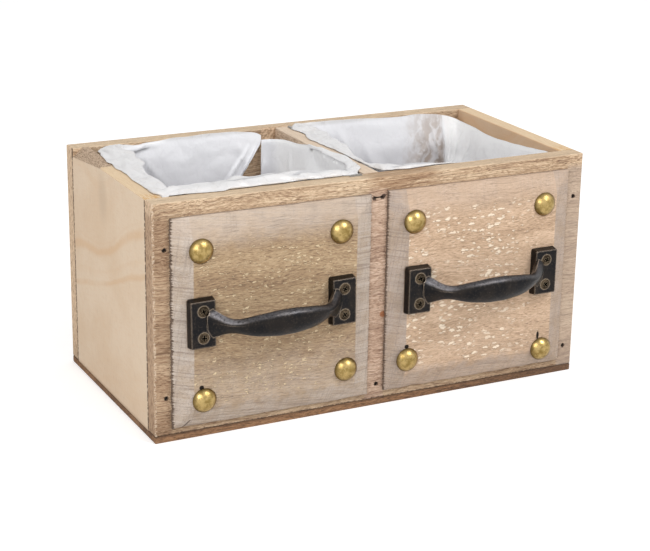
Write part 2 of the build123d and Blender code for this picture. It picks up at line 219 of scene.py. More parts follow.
MM = 0.001
BOARD_TONES = [(0.78, 0.61, 0.425), (0.635, 0.465, 0.31), (0.44, 0.295, 0.185), (0.22, 0.135, 0.085)]
PLANED_TOP = (0.78, 0.63, 0.45)
END_GRAIN = (0.78, 0.58, 0.40)
END_PORES = (0.40, 0.27, 0.175)
SHADE_BROWN = (0.10, 0.065, 0.045)
SEAM_DARK = (0.07, 0.045, 0.035)
DARK_HOLE = (0.05, 0.032, 0.024)
FOOT_TINT = (0.80, 0.78, 0.76)
RIGHT_HALF_TINT = (0.90, 0.86, 0.84)
LEFT_STILE_TINT = (0.655, 0.595, 0.565)
STRIP_TINT = (0.90, 0.87, 0.98)
RIGHT_STILE_BROWN = (0.42, 0.34, 0.29)
CRUMBLED_EDGE = (0.70, 0.56, 0.42)
PATCH_TINT = (0.68, 0.60, 0.55)
KNOT_RED = (0.32, 0.12, 0.05)
SAW_PITCH = 1.1 * MM
RIGHT_STILE_X = (0.119, 0.121)
PATCH_X = 0.015
PATCH_HALF_WIDTH = (0.027, 0.014)
PATCH_Z = (0.1195, 0.1235)
# X and Z in the board's front
BRAD_HOLES = [(-0.1236, 0.1059), (-0.1235, 0.0249), (0.0007, 0.0126), (0.1249, 0.1064), (0.1240, 0.0162)]
STAPLE_HOLES = [(-0.0032, 0.1196), (0.0017, 0.1199), (0.0026, 0.1203)]
KNOT_AT = (0.0039, 0.0531)


class Finish(Shader):
    """A material for the box, with what is the same all over set on its own sockets."""

    def __init__(self, name, **constant):
        self.material = bpy.data.materials.new(name)
        self.material.use_nodes = True
        super().__init__(self.material.node_tree)
        self.surface = self.tree.nodes["Principled BSDF"]
        for socket, value in constant.items():
            self.surface.inputs[socket.replace("_", " ")].default_value = value
        self.place = self.node("TexCoord", output="Object")

    def axis(self, letter):
        """The place along X, Y or Z, in metres."""
        return self.node("SeparateXYZ", {}, {0: self.place}, output=letter)

    def clouds(self, scale, detail, roughness=0.5, distortion=0.0, output=0):
        """Noise alike every way, its scale in features a metre: a number or, as output 1, a colour."""
        inputs = {"Vector": self.place, "Scale": scale, "Detail": detail, "Roughness": roughness}
        return self.node("TexNoise", {}, {**inputs, "Distortion": distortion}, output)

    def feed(self, socket, value):
        self.tree.links.new(value.socket, self.surface.inputs[socket])

    def relief(self, height, depth, strength=1.0):
        """Bumps the surface by height, from 0 to 1, times depth in metres."""
        bump = self.node("Bump", {}, {"Height": height, "Distance": depth, "Strength": strength})
        self.feed("Normal", bump)

    def put_on(self, piece):
        """Gives the whole piece this finish."""
        piece.data.materials.clear()
        piece.data.materials.append(self.material)


class SawnWood(Finish):
    """Bare wood with its grain along one axis: drawn-out bands, growth lines, dark pores and torn fibres."""

    def __init__(self, name, along, tones, seed=0.0, lines=0.5, pores=0.8, bands=90, hairs=(1300, 50)):
        super().__init__(name, Roughness=0.84, Specular_IOR_Level=0.2)
        self.along = along
        place = {"Vector": self.place, "Location": (seed, seed * 0.7, seed * 1.3)}
        shifted = self.node("Mapping", {}, place)
        wander = self.node("TexNoise", {}, {"Vector": shifted, "Scale": 16.0, "Detail": 3.0}, output=1)
        self.bent = self.node("Mix", {"data_type": "VECTOR"}, {0: 0.012, 4: shifted, 5: wander}, output=1)
        broad = self.drawn(bands, bands / 9, detail=2.0)
        middling = self.drawn(*hairs, detail=3.0, roughness=0.6)
        short = self.drawn(2900, 330, detail=2.0, roughness=0.65)
        tone = broad * 0.30 + middling * 0.34 + short * 0.50 - 0.07
        pale, middle, dark, darkest = tones
        stops = [(0.39, pale), (0.47, middle), (0.56, dark), (0.66, darkest)]
        self.colour = self.node("ValToRGB", {"stops": stops}, {0: tone})
        growth = self.drawn(120, 4.5, detail=2.0, roughness=0.45)
        rings = self.node("Math", {"operation": "PINGPONG"}, {0: growth * 13.0, 1: 0.5})
        broken = self.drawn(500, 16, detail=2.0, moved=0.2)
        self.rings = self.step(rings, 0.34, 0.5) * self.step(broken, 0.40, 0.58)
        self.shade(self.rings * lines, dark)
        self.pores = self.step(short, 0.585, 0.68)
        self.shade(self.pores * pores, darkest)
        torn = self.drawn(2300, 300, detail=2.0, roughness=0.6, moved=0.4)
        self.shade(self.step(torn, 0.58, 0.70) * 0.55, tuple(min(1.0, 1.12 * part) for part in pale))
        self.short = short
        self.middling = middling
        self.height = short * -0.5 + torn * 0.5 + self.rings * -0.4

    def drawn(self, across, along, detail, roughness=0.55, moved=0.0):
        """Noise drawn out along the grain, with its features a metre across and along it."""
        scale = tuple(along if letter == self.along else across for letter in "XYZ")
        place = {"Vector": self.bent, "Scale": scale, "Location": (moved, moved, moved)}
        inputs = {"Vector": self.node("Mapping", {}, place), "Scale": 1.0, "Detail": detail}
        return self.node("TexNoise", {}, {**inputs, "Roughness": roughness})

    def shade(self, share, colour):
        """Lays a colour over the wood, where share says."""
        self.colour = self.mix(share, self.colour, colour)

    def tint(self, share, colour):
        """Multiplies the wood by a colour, where share says."""
        self.colour = self.mix(share, self.colour, colour, blend="MULTIPLY")

    def ribs(self, across, pitch):
        """Saw marks as fine irregular ridges, a pitch apart along one axis, that lean a little."""
        leaning = self.node("Mapping", {}, {"Vector": self.place, "Rotation": (0.0, radians(-7.5), 0.0)})
        scale = tuple(1 / pitch if letter == across else 28 for letter in "XYZ")
        return self.noise(leaning, scale, detail=1.0, roughness=0.35)

    def done(self, relief=0.45 * MM):
        """Feeds the wood's colour and relief to the surface."""
        self.feed("Base Color", self.colour)
        self.relief(self.height, relief)
        return self


case_low, case_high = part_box("front_board")[0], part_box("back_board")[1]


def finish_long_board(name, seed, inner_y):
    """A board along X: paler on its planed top edge, browner on its ends, with painted shade where it meets
    the panels.
    """
    wood = SawnWood(name + "_wood", "X", BOARD_TONES, seed=seed, lines=0.85)
    x, y, z = (wood.axis(letter) for letter in "XYZ")
    ragged = wood.clouds(900.0, 2.0)
    marks = wood.ribs("Z", SAW_PITCH)
    for drift, closeness in ((0.0, 0.016), (0.7, 0.012)):
        winding = wood.drawn(230, 7, detail=3.0, roughness=0.5, moved=drift)
        broken = wood.drawn(420, 20, detail=2.0, moved=drift + 0.3)
        fissure = wood.step(abs(winding - 0.5), closeness, closeness * 0.3) * wood.step(broken, 0.44, 0.56)
        wood.shade(fissure * 0.7, BOARD_TONES[3])
    wood.shade(wood.step(marks, 0.52, 0.70) * 0.35, BOARD_TONES[2])
    top = wood.step(z, case_high.z - 0.7 * MM, case_high.z - 0.3 * MM)
    wood.shade(top * 0.45, PLANED_TOP)
    ends = wood.step(abs(x), case_high.x - 0.7 * MM, case_high.x - 0.2 * MM)
    speckle = wood.noise(wood.place, (800, 1000, 300), detail=3.0, roughness=0.7)
    end_grain = wood.mix(wood.step(speckle, 0.46, 0.62), END_GRAIN, END_PORES)
    wood.shade(ends * 0.85, end_grain)
    # Painted shade: a thin ragged dark line on the ends, in the joint with the side panels.
    shade_at_panel = wood.step(abs(y - inner_y), 1.3 * MM, 0.4 * MM) * ends * wood.step(ragged, 0.35, 0.5)
    wood.shade(shade_at_panel, SHADE_BROWN)
    # Darker towards the bottom of the board, with a dark line along its foot where it meets the base board.
    darker_at_bottom = wood.step(z + ragged * (5 * MM), case_low.z + 8 * MM, case_low.z + 3.0 * MM)
    wood.shade(darker_at_bottom * 0.16, SHADE_BROWN)
    seam = wood.step(z + ragged * (2 * MM), case_low.z + 2.0 * MM, case_low.z + 1.2 * MM)
    wood.shade(seam * 0.8, SEAM_DARK)
    lower = wood.step(z, case_low.z + 24 * MM, case_low.z + 6 * MM)
    wood.tint(lower * 0.6, FOOT_TINT)
    right_half = wood.step(x, -10 * MM, 25 * MM)
    wood.tint(right_half * 0.3, RIGHT_HALF_TINT)
    wood.height = wood.height + marks * 0.6
    return wood


front_wood = finish_long_board("front_board", 0.0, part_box("left_side_panel")[0].y)
face_low, face_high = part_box("left_drawer_face")
strip_low, strip_high = face_high.x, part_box("right_drawer_face")[0].x
front_x, front_z = front_wood.axis("X"), front_wood.axis("Z")
below_rail = front_wood.step(front_z, face_high.z + 4 * MM, face_high.z - 1 * MM)
left_stile = front_wood.step(front_x, face_low.x + 2 * MM, face_low.x - 1 * MM) * below_rail
front_wood.tint(left_stile * 0.9, LEFT_STILE_TINT)
on_strip = front_wood.step(abs(front_x - (strip_low + strip_high) / 2), 6.5 * MM, 5 * MM) * below_rail
front_wood.tint(on_strip * 0.9, STRIP_TINT)
right_stile = front_wood.step(front_x, *RIGHT_STILE_X) * below_rail
front_wood.shade(right_stile * 0.5, RIGHT_STILE_BROWN)
worn_arris = front_wood.step(front_x, 1.6 * MM - case_high.x, 0.7 * MM - case_high.x)
front_face = front_wood.step(front_wood.axis("Y"), case_low.y + 1.5 * MM, case_low.y + 0.6 * MM)
crumbs = front_wood.noise(front_wood.place, (900, 900, 1100), detail=2.0)
front_wood.shade(worn_arris * front_face * front_wood.step(crumbs, 0.46, 0.60) * 0.7, CRUMBLED_EDGE)
patch = front_wood.step(abs(front_x - PATCH_X), *PATCH_HALF_WIDTH) * front_wood.step(front_z, *PATCH_Z)
front_wood.tint(patch * front_wood.step(front_wood.middling, 0.30, 0.46), PATCH_TINT)
chips = front_wood.clouds(1300.0, 2.0) * (1.5 * MM)
for hole_x, hole_z in BRAD_HOLES + STAPLE_HOLES:
    from_hole = ((front_x - hole_x) ** 2.0 + (front_z - hole_z) ** 2.0) ** 0.5 + chips
    front_wood.shade(front_wood.step(from_hole, 2.3 * MM, 1.7 * MM) * 0.92, DARK_HOLE)
knot_drift = front_wood.clouds(300.0, 2.0)
knot_reach = (front_x - KNOT_AT[0]) ** 2.0 + (front_z - KNOT_AT[1]) ** 2.0 + knot_drift * (2.6 * MM**2)
front_wood.shade(front_wood.step(knot_reach, 6.6 * MM**2, 3.4 * MM**2) * 0.9, KNOT_RED)
front_wood.done().put_on(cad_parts["front_board"])

# ----------------------------------------------------------------------
# Back board: the same stock as the front board, nailed on behind. Its top edge is torn where the divider
# meets it, and rough brown wood shows there.
# ----------------------------------------------------------------------

TORN_PALE = (0.72, 0.52, 0.35)
TORN_DARK = (0.42, 0.27, 0.17)
TORN_MIDDLE_X = -5 * MM
TORN_Y = (62 * MM, 58 * MM)
TORN_Z = (0.1235, 0.1250)

back_wood = finish_long_board("back_board", 0.37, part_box("left_side_panel")[1].y)
back_x, back_y, back_z = (back_wood.axis(letter) for letter in "XYZ")
rough = back_wood.clouds(700.0, 3.0)
torn_patch = back_wood.step(abs(back_x - TORN_MIDDLE_X) + rough * (7 * MM), 14 * MM, 10.5 * MM)
torn_patch = torn_patch * back_wood.step(back_y, *TORN_Y) * back_wood.step(back_z, *TORN_Z)
torn_brown = back_wood.mix(back_wood.step(rough, 0.42, 0.62), TORN_PALE, TORN_DARK)
back_wood.shade(torn_patch * 0.85, torn_brown)
back_wood.done().put_on(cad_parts["back_board"])

# ----------------------------------------------------------------------
# Side panels: 9.5 mm plywood let in between the front and back boards, its face veneer peeled, so that the
# grain makes broad soft arches. The left one's top corner is planed off, and the cut shows rough brown core.
# ----------------------------------------------------------------------

VENEER_PALE = (0.70, 0.56, 0.42)
VENEER_DEEP = (0.66, 0.505, 0.36)
VENEER_BAND = (0.63, 0.42, 0.25)
VENEER_FEATHER = (0.50, 0.385, 0.28)
EDGE_PALE = (0.74, 0.57, 0.38)
EDGE_DEEP = (0.60, 0.42, 0.25)
EDGE_ORANGE = (0.62, 0.36, 0.14)
INNER_RUSSET = (0.66, 0.41, 0.23)
CORE_BROWN = (0.42, 0.29, 0.19)
CORE_PALE = (0.60, 0.45, 0.32)
CORE_DARK = (0.22, 0.14, 0.09)
BAND_SLOPE = 0.33
UPPER_BAND = 95.6 * MM
LOWER_BAND = 72.6 * MM
PLANED_Z = (0.1225, 0.1240)


def finish_side_panel(name, seed, planed_from=None):
    """Plywood with level arched bands on its face and a striped, rougher top edge."""
    panel = Finish(name + "_wood", Roughness=0.78, Specular_IOR_Level=0.25)
    low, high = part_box(name)
    x, y, z = (panel.axis(letter) for letter in "XYZ")
    shifted = panel.node("Mapping", {}, {"Vector": panel.place, "Location": (seed, seed, seed)})
    near_peak = panel.step(abs(y - 5 * MM), 42 * MM, 4 * MM)
    level = z + y * BAND_SLOPE
    arch = level + near_peak * (level - 0.060) * 0.26
    ripple = panel.node("TexNoise", {}, {"Vector": shifted, "Scale": 70.0, "Detail": 3.0}) * (3.2 * MM)
    grown = arch + ripple
    stripes = {"W": grown, "Scale": 95.0, "Detail": 3.0, "Roughness": 0.6}
    bands = panel.node("TexNoise", {"noise_dimensions": "1D"}, stripes)
    upper_band = panel.step(abs(grown - UPPER_BAND), 4.6 * MM, 0.6 * MM)
    lower_band = panel.step(abs(grown - LOWER_BAND), 2.6 * MM, 0.6 * MM)
    fine = panel.noise(shifted, (1600, 150, 1600), detail=3.0, roughness=0.65)
    crossing = panel.noise(shifted, (1500, 1700, 160), detail=2.0)
    cloud = panel.noise(shifted, (28, 28, 28), detail=4.0)
    colour = panel.mix(panel.step(cloud, 0.35, 0.7), VENEER_PALE, VENEER_DEEP)
    colour = panel.mix(panel.step(bands, 0.52, 0.70) * 0.16, colour, VENEER_BAND)
    strong = panel.largest(upper_band, lower_band * 0.8)
    colour = panel.mix(strong * panel.step(cloud, 0.25, 0.5) * 0.62, colour, VENEER_BAND)
    colour = panel.mix(panel.step(fine, 0.46, 0.76) * 0.42, colour, VENEER_BAND)
    colour = panel.mix(panel.step(crossing, 0.50, 0.80) * 0.30, colour, CORE_BROWN)
    around_knot = {"Vector": panel.place, "Scale": (0.0, 105.0, 52.0), "Location": (0.0, -0.74, -6.0)}
    knot_side = panel.node("Mapping", {}, around_knot)
    knot_reach = panel.node("VectorMath", {"operation": "LENGTH"}, {0: knot_side}, output="Value")
    outer_face = panel.step(x, low.x + 0.6 * MM, low.x + 0.2 * MM)
    feather = panel.step(knot_reach + crossing * 0.9, 1.45, 0.65) * outer_face
    colour = panel.mix(feather * 0.42, colour, VENEER_FEATHER)
    ragged = panel.clouds(800.0, 3.0)
    speckle = panel.clouds(1500.0, 2.0)
    # Painted shade: a thin ragged dark line in the joint with the front and back boards.
    shade_at_joint = panel.step(abs(y), high.y - 1.1 * MM, high.y - 0.3 * MM) * panel.step(ragged, 0.38, 0.52)
    colour = panel.mix(shade_at_joint * 0.85, colour, SHADE_BROWN)
    top = panel.step(z, high.z - 0.6 * MM, high.z - 0.25 * MM)
    top_colour = panel.mix(panel.step(fine, 0.4, 0.7) * 0.5, EDGE_PALE, EDGE_DEEP)
    colour = panel.mix(top, colour, top_colour)
    sawn_end = panel.step(y + speckle * (3 * MM), low.y + 13 * MM, low.y + 5 * MM)
    sawn_end = sawn_end * panel.step(fine, 0.42, 0.56)
    colour = panel.mix(sawn_end * top * 0.8, colour, EDGE_ORANGE)
    if planed_from is None:
        inner_face = panel.step(x, low.x + 0.7 * MM, low.x + 0.3 * MM)
        colour = panel.mix(inner_face * (bands * 0.5 + 0.35), colour, INNER_RUSSET)
    height = fine * 0.3 + crossing * 0.25
    if planed_from is not None:
        inner = panel.step(x, low.x + 0.2 * MM, low.x + 0.5 * MM)
        plane_edge = y + (ragged - 0.5) * (6 * MM)
        planed = panel.step(plane_edge, planed_from, planed_from + 2.5 * MM) * inner
        planed = planed * panel.step(z, *PLANED_Z)
        torn_core = panel.mix(panel.step(speckle, 0.40, 0.66), CORE_PALE, CORE_DARK)
        colour = panel.mix(planed, colour, torn_core)
        height = height + planed * speckle * 1.6
    # Darker brown towards the bottom of the panel.
    darker_at_bottom = panel.step(z + ragged * (2.5 * MM), low.z + 3.2 * MM, low.z + 1.2 * MM)
    colour = panel.mix(darker_at_bottom * 0.7, colour, CORE_BROWN)
    panel.feed("Base Color", colour)
    panel.relief(height, 0.3 * MM)
    panel.put_on(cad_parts[name])


finish_side_panel("left_side_panel", 0.0, planed_from=0.010)
finish_side_panel("right_side_panel", 0.53)

# ----------------------------------------------------------------------
# Centre divider: a 9 mm board between the two compartments, its grain along Y and its top edge planed pale.
# Brads through the front and back boards hold it.
# ----------------------------------------------------------------------

DIVIDER_TONES = [(0.76, 0.60, 0.45), (0.64, 0.48, 0.345), (0.50, 0.35, 0.24), (0.28, 0.18, 0.12)]
DIVIDER_TOP = (0.78, 0.64, 0.50)

divider_wood = SawnWood("centre_divider_wood", "Y", DIVIDER_TONES, seed=0.5)
divider_top = divider_wood.step(divider_wood.axis("Z"), case_high.z - 0.7 * MM, case_high.z - 0.3 * MM)
divider_wood.shade(divider_top * 0.7, DIVIDER_TOP)
divider_wood.done().put_on(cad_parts["centre_divider"])

# ----------------------------------------------------------------------
# Base board: a thin reddish-brown board under the whole case, nailed up into the walls. It is darker towards
# its right end, and darker along the top of its edges where the case stands on it.
# ----------------------------------------------------------------------

BASE_TONES = [(0.36, 0.205, 0.11), (0.27, 0.145, 0.075), (0.155, 0.085, 0.05), (0.065, 0.04, 0.027)]
BASE_DARK = (0.09, 0.055, 0.04)
BASE_EDGE_DARK = (0.08, 0.05, 0.035)

base_wood = SawnWood("base_board_wood", "X", BASE_TONES, seed=0.8)
base_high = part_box("base_board")[1]
darker_right = base_wood.step(base_wood.axis("X"), 0.02, base_high.x)
base_wood.shade(darker_right * 0.45, BASE_DARK)
# A dark ragged band along the top of the edges, just under the case.
under_case = base_wood.axis("Z") + (base_wood.short - 0.5) * (1.4 * MM)
under_case = base_wood.step(under_case, base_high.z - 1.1 * MM, base_high.z - 0.4 * MM)
base_wood.shade(under_case * 0.5, BASE_EDGE_DARK)
base_wood.done().put_on(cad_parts["base_board"])

# ----------------------------------------------------------------------
# Drawer faces: bevelled panels of sawn wood, glued on the front board. They were brushed with thin white
# paint and rubbed back, so grey-pink paint stays on the bevels, and the field is torn in small pale flecks.
# ----------------------------------------------------------------------

BEVEL = 11 * MM
FACE_EDGE = 2 * MM
EDGE_ZONES = [(3 * MM, 0.4 * MM), (9 * MM, 0.8 * MM)]  # widths from a side, with the spacing there
GRID_ROWS = 380
RIB_PITCHES = {"left": 0.55 * MM, "right": 0.50 * MM}
RIB_LEAN = 0.13
RIB_DEPTH = 0.16 * MM
TOOTH = 0.95 * MM
RIB_WEIGHTS = {"left": (0.62, 0.35), "right": (0.50, 0.12)}  # of the ribs' shadows, and of their crests
SHADE_REACH = {"left": 2.0 * MM, "right": 1.5 * MM}
RIB_SHADOW = (0.27, 0.21, 0.175)
RIB_CREST_HIGHLIGHT = (0.66, 0.60, 0.55)
PAINT_SCORE = (0.32, 0.255, 0.22)
PAINT_PORE = (0.22, 0.16, 0.13)
TOP_BEVEL_SHADE = (0.955, 0.955, 0.965)
BRAD_SHADOW = (0.016, 0.011, 0.008)
SPLIT = (0.1136, 0.0101)  # how far left of the middle, and how far up
SPLIT_DARK = (0.09, 0.06, 0.045)
FACE_SIDE_SHADE = (0.20, 0.145, 0.11)


def spread_lines(width, zones):
    """Places of grid lines over a width: zones pair a band's width at each side with the spacing in it."""
    lines, place = [], 0.0
    for band, spacing in zones:
        count = max(1, round(band / spacing))
        lines += [place + band * index / count for index in range(count)]
        place += band
    middle = width - 2 * place
    count = round(middle / zones[-1][1] / 1.6)
    lines += [place + middle * index / count for index in range(count)]
    return lines + [width - line for line in reversed(lines[: -count])]


def fade(distance, width):
    """Falls evenly from 1 at an edge to 0 a width away from it."""
    return max(0.0, 1 - distance / width)


def carve_face(side, seed):
    """A bevelled board with sawn ribs across it, a toothed left edge and slightly wavy other edges."""
    low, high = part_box(side + "_drawer_face")
    width, height = high.x - low.x, high.z - low.z
    across = [0.0] + spread_lines(width, EDGE_ZONES) + [width]
    upwards = [0.0] + [height * index / GRID_ROWS for index in range(GRID_ROWS + 1)] + [height]
    bpy.ops.object.select_all(action="DESELECT")
    bpy.ops.mesh.primitive_grid_add(x_subdivisions=len(across) - 1, y_subdivisions=len(upwards) - 1, size=1)
    board = bpy.context.object
    board.name = side + "_whitewashed_face"

    def wave(place, lane):
        return 0.5 + noise.noise(Vector((place, seed, lane)))

    ribs = []
    for row, up in enumerate(upwards):
        for column, right in enumerate(across):
            from_right, from_top = width - right, height - up
            x, z = low.x + right, low.z + up
            inset = min(right, from_right, up, from_top)
            sawn = (z + RIB_LEAN * right) / RIB_PITCHES[side]
            rib = 0.5 + 0.62 * noise.noise(Vector((x * 34, seed, sawn)))
            rib += 0.2 * noise.noise(Vector((x * 90, seed, sawn * 2.3)))
            rib = min(1.0, max(0.0, rib))
            rise = min(1.0, inset / BEVEL)
            y = high.y - FACE_EDGE - (high.y - FACE_EDGE - low.y) * rise
            y += RIB_DEPTH * (1.0 if inset < BEVEL else 0.45) * rib
            y += fade(inset, 0.9 * MM) * 0.5 * MM * (0.4 + 0.6 * rib)
            x += fade(right, 2.2 * MM) * TOOTH * rib * 1.2
            x -= fade(from_right, 2 * MM) * (0.30 * MM * rib + 0.25 * MM * wave(z * 70, 3.0))
            z += fade(up, 2 * MM) * 0.45 * MM * wave(x * 110, 5.0)
            z -= fade(from_top, 2 * MM) * 0.30 * MM * wave(x * 80, 8.0)
            if row in (0, len(upwards) - 1) or column in (0, len(across) - 1):
                y = high.y
            board.data.vertices[row * len(across) + column].co = (x, y, z)
            ribs.append(rib)
    held = board.data.attributes.new("rib", "FLOAT", "POINT")
    held.data.foreach_set("value", ribs)
    bpy.ops.object.mode_set(mode="EDIT")
    bpy.ops.mesh.select_mode(type="EDGE")
    bpy.ops.mesh.select_all(action="DESELECT")
    bpy.ops.mesh.select_non_manifold()
    bpy.ops.mesh.edge_face_add()
    bpy.ops.mesh.select_all(action="SELECT")
    bpy.ops.mesh.normals_make_consistent(inside=False)
    bpy.ops.object.mode_set(mode="OBJECT")
    bpy.ops.object.shade_smooth_by_angle(angle=radians(40))
    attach(board, "root")
    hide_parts(side + "_drawer_face")
    return board


def flecks(finish, cell, share, largest, drift):
    """A mask of small torn flecks: cell is their spacing along X and Z, share how many places have one."""
    wobble = finish.clouds(420.0, 3.0, output=1)
    moved = finish.node("Mix", {"data_type": "VECTOR"}, {0: 0.0026, 4: finish.place, 5: wobble}, output=1)
    spacing = (1 / cell[0], 20.0, 1 / cell[1])
    cells = finish.node("Mapping", {}, {"Vector": moved, "Scale": spacing, "Location": (drift, 0.0, drift)})
    distance = finish.node("TexVoronoi", {}, {"Vector": cells, "Scale": 1.0})
    lot = finish.node("TexVoronoi", {}, {"Vector": cells, "Scale": 1.0}, output=1)
    chance = finish.node("SeparateColor", {}, {0: lot}, output=0)
    size = finish.node("SeparateColor", {}, {0: lot}, output=1)
    there = finish.step(chance, 1.0 - share, 1.02 - share)
    reach = (size * 0.65 + 0.35) * largest
    return there * finish.step(reach - distance, 0.0, 0.10)


def finish_drawer_face(side, tones, wash, haze_weight, paint_tones, fleck_colour, fleck_layers, brads, seed):
    """Whitewashed wood, with the weight of paint on the left, right, lower and upper bevel given in wash."""
    name = side + "_drawer_face_wood"
    face = SawnWood(name, "X", tones, seed=seed, lines=0.22, pores=0.7, hairs=(1900, 170))
    low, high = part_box(side + "_drawer_face")
    x, z = face.axis("X"), face.axis("Z")
    soft = face.clouds(110.0, 4.0)
    drift = (soft - 0.5) * (14.0 * MM)
    from_left, from_right, from_bottom, from_top = x - low.x, high.x - x, z - low.z, high.z - z
    left = face.step(from_left, BEVEL + 0.4 * MM, BEVEL - 0.4 * MM) * wash[0]
    right = face.step(from_right, BEVEL + 0.5 * MM, BEVEL - 0.5 * MM) * wash[1]
    bottom = face.step(from_bottom + drift, BEVEL + 5 * MM, BEVEL - 4 * MM) * wash[2]
    top = face.step(from_top + drift, BEVEL + 9 * MM, BEVEL - 6 * MM) * wash[3]
    haze = face.step(from_bottom + drift, 48 * MM, 16 * MM) * haze_weight
    paint = face.largest(face.largest(face.largest(left, right), face.largest(bottom, top)), haze)
    ribs = face.node("Attribute", {"attribute_name": "rib"}, output="Fac")
    upright = face.ribs("X", 0.75 * MM)
    worn = face.step(face.middling, 0.78, 0.40) * 0.4 + 0.6
    bare = face.step(paint, 0.62, 0.40) * face.step(top + bottom, 0.30, 0.08)
    shadow_weight, crest_highlight_weight = RIB_WEIGHTS[side]
    # Painted shade in the saw ribs' valleys; where there is paint, their crests get a painted highlight.
    face.shade(face.step(ribs, 0.55, 0.85) * 0.35, tones[2])
    wash_colour = face.mix(face.step(soft, 0.4, 0.65), paint_tones[0], paint_tones[1])
    face.shade(paint * worn * 0.92, wash_colour)
    face.shade(paint * face.step(ribs, 0.52, 0.85) * shadow_weight, RIB_SHADOW)
    face.shade(paint * face.step(ribs, 0.42, 0.20) * crest_highlight_weight, RIB_CREST_HIGHLIGHT)
    face.shade(paint * face.step(upright, 0.52, 0.66) * 0.38, PAINT_SCORE)
    face.shade(paint * face.pores * 0.45, PAINT_PORE)
    # Painted light: a lighter paint tone spreads down over the upper part of the face, where light catches
    # it.
    catching_light = face.step(from_top + drift, BEVEL + 13 * MM, BEVEL - 7 * MM) * face.step(soft, 0.25, 0.6)
    face.shade(catching_light * 0.42, paint_tones[2])
    # Painted shade: the top bevel is darkened a little against the extra light it gets from facing up.
    face.tint(face.step(from_top, BEVEL + 0.5 * MM, BEVEL - 0.5 * MM), TOP_BEVEL_SHADE)
    torn = None
    for cell, share, largest, spread in fleck_layers:
        cluster = face.clouds(45.0, 2.0)
        layer = flecks(face, cell, share, largest, seed) * face.step(cluster, 0.34, 0.46)
        layer = layer * face.step(from_left, spread[1], spread[0])
        torn = layer if torn is None else face.largest(torn, layer)
    torn = torn * bare
    face.shade(torn * 0.9, fleck_colour)
    for hole_x, hole_z, half_width, half_height in brads:
        from_hole = ((x - hole_x) * (1 / half_width)) ** 2.0 + ((z - hole_z) * (1 / half_height)) ** 2.0
        face.shade(face.step(from_hole**0.5 + soft, 1.8, 1.35), BRAD_SHADOW)
    if side == "left":
        beside, above = x + SPLIT[0], z - SPLIT[1]
        split = abs(beside * 0.77 - above * 0.64) + abs(soft - 0.5) * MM
        split = face.step(split, 0.7 * MM, 0.3 * MM) * face.step(abs(above), 2.6 * MM, 1.8 * MM)
        face.shade(split * face.step(abs(beside), 3.0 * MM, 2.0 * MM) * 0.8, SPLIT_DARK)
    # Painted shade along the left edge, ragged with the ribs, where the face's left side is away from the
    # light.
    left_edge_shade = face.step(from_left - ribs * SHADE_REACH[side], 0.3 * MM, -0.3 * MM)
    face.shade(left_edge_shade * 0.85, SHADE_BROWN)
    # Painted shade on the face's sides.
    on_side = face.step(face.axis("Y"), high.y - FACE_EDGE + 0.1 * MM, high.y - FACE_EDGE + 0.6 * MM)
    face.shade(on_side * 0.6, FACE_SIDE_SHADE)
    face.height = face.height + torn * 0.9 + upright * paint * -0.5
    face.done(0.4 * MM)
    board = carve_face(side, seed)
    face.put_on(board)


finish_drawer_face(
    "left",
    tones=[(0.535, 0.395, 0.25), (0.43, 0.30, 0.18), (0.325, 0.215, 0.13), (0.17, 0.11, 0.07)],
    wash=(0.95, 0.9, 0.85, 0.60),
    haze_weight=0.42,
    paint_tones=[(0.555, 0.48, 0.42), (0.49, 0.40, 0.325), (0.72, 0.585, 0.47)],
    fleck_colour=(0.76, 0.60, 0.39),
    fleck_layers=[
        ((3.7 * MM, 1.3 * MM), 0.20, 0.50, (0.100, 0.112)),
        ((2.0 * MM, 0.8 * MM), 0.22, 0.46, (0.100, 0.112)),
    ],
    brads=[(-0.1064, 0.0306, 1.4 * MM, 1.4 * MM)],
    seed=1.3,
)
finish_drawer_face(
    "right",
    tones=[(0.745, 0.545, 0.395), (0.625, 0.445, 0.305), (0.50, 0.34, 0.225), (0.31, 0.21, 0.14)],
    wash=(1.0, 0.85, 0.75, 0.35),
    haze_weight=0.12,
    paint_tones=[(0.445, 0.37, 0.32), (0.40, 0.315, 0.25), (0.62, 0.455, 0.33)],
    fleck_colour=(0.95, 0.80, 0.63),
    fleck_layers=[
        ((5.8 * MM, 2.2 * MM), 0.50, 0.52, (0.068, 0.086)),
        ((3.2 * MM, 1.5 * MM), 0.36, 0.50, (0.074, 0.105)),
    ],
    brads=[
        (0.0157, 0.0345, 1.1 * MM, 1.1 * MM),
        (0.1014, 0.0284, 0.85 * MM, 2.2 * MM),
        (0.1090, 0.0205, 0.6 * MM, 0.5 * MM),
    ],
    seed=2.1,
)

# ----------------------------------------------------------------------
# Brads and staples: dull steel wire, driven below the surface with an air gun, so that they look dark in
# their holes. The staples that hold the liners are of brighter wire.
# ----------------------------------------------------------------------

DARK_WIRE = (0.035, 0.028, 0.024)
BRIGHT_WIRE = (0.42, 0.42, 0.41)


def finish_dull_wire(name, colour, pieces):
    """Wire with a thin dull skin that varies in tone."""
    wire = Finish(name, Metallic=0.85)
    skin = wire.clouds(1800.0, 3.0)
    wire.feed("Base Color", wire.mix(wire.step(skin, 0.4, 0.7), colour, tuple(0.5 * c for c in colour)))
    wire.feed("Roughness", skin * 0.3 + 0.4)
    for piece in pieces:
        wire.put_on(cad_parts[piece])


case_brads = ["front_brads", "back_brads", "base_brads", "front_staple"]
face_brads = ["left_face_brads", "right_face_brads"]
finish_dull_wire("dark_wire", DARK_WIRE, case_brads + face_brads)
finish_dull_wire("bright_wire", BRIGHT_WIRE, ["left_liner_staples", "right_liner_staples"])

# ----------------------------------------------------------------------
# Dome nails: pressed brass caps, hammered in near the corners of the faces. Their skin is aged and pitted,
# and darker and browner round the rim.
# ----------------------------------------------------------------------

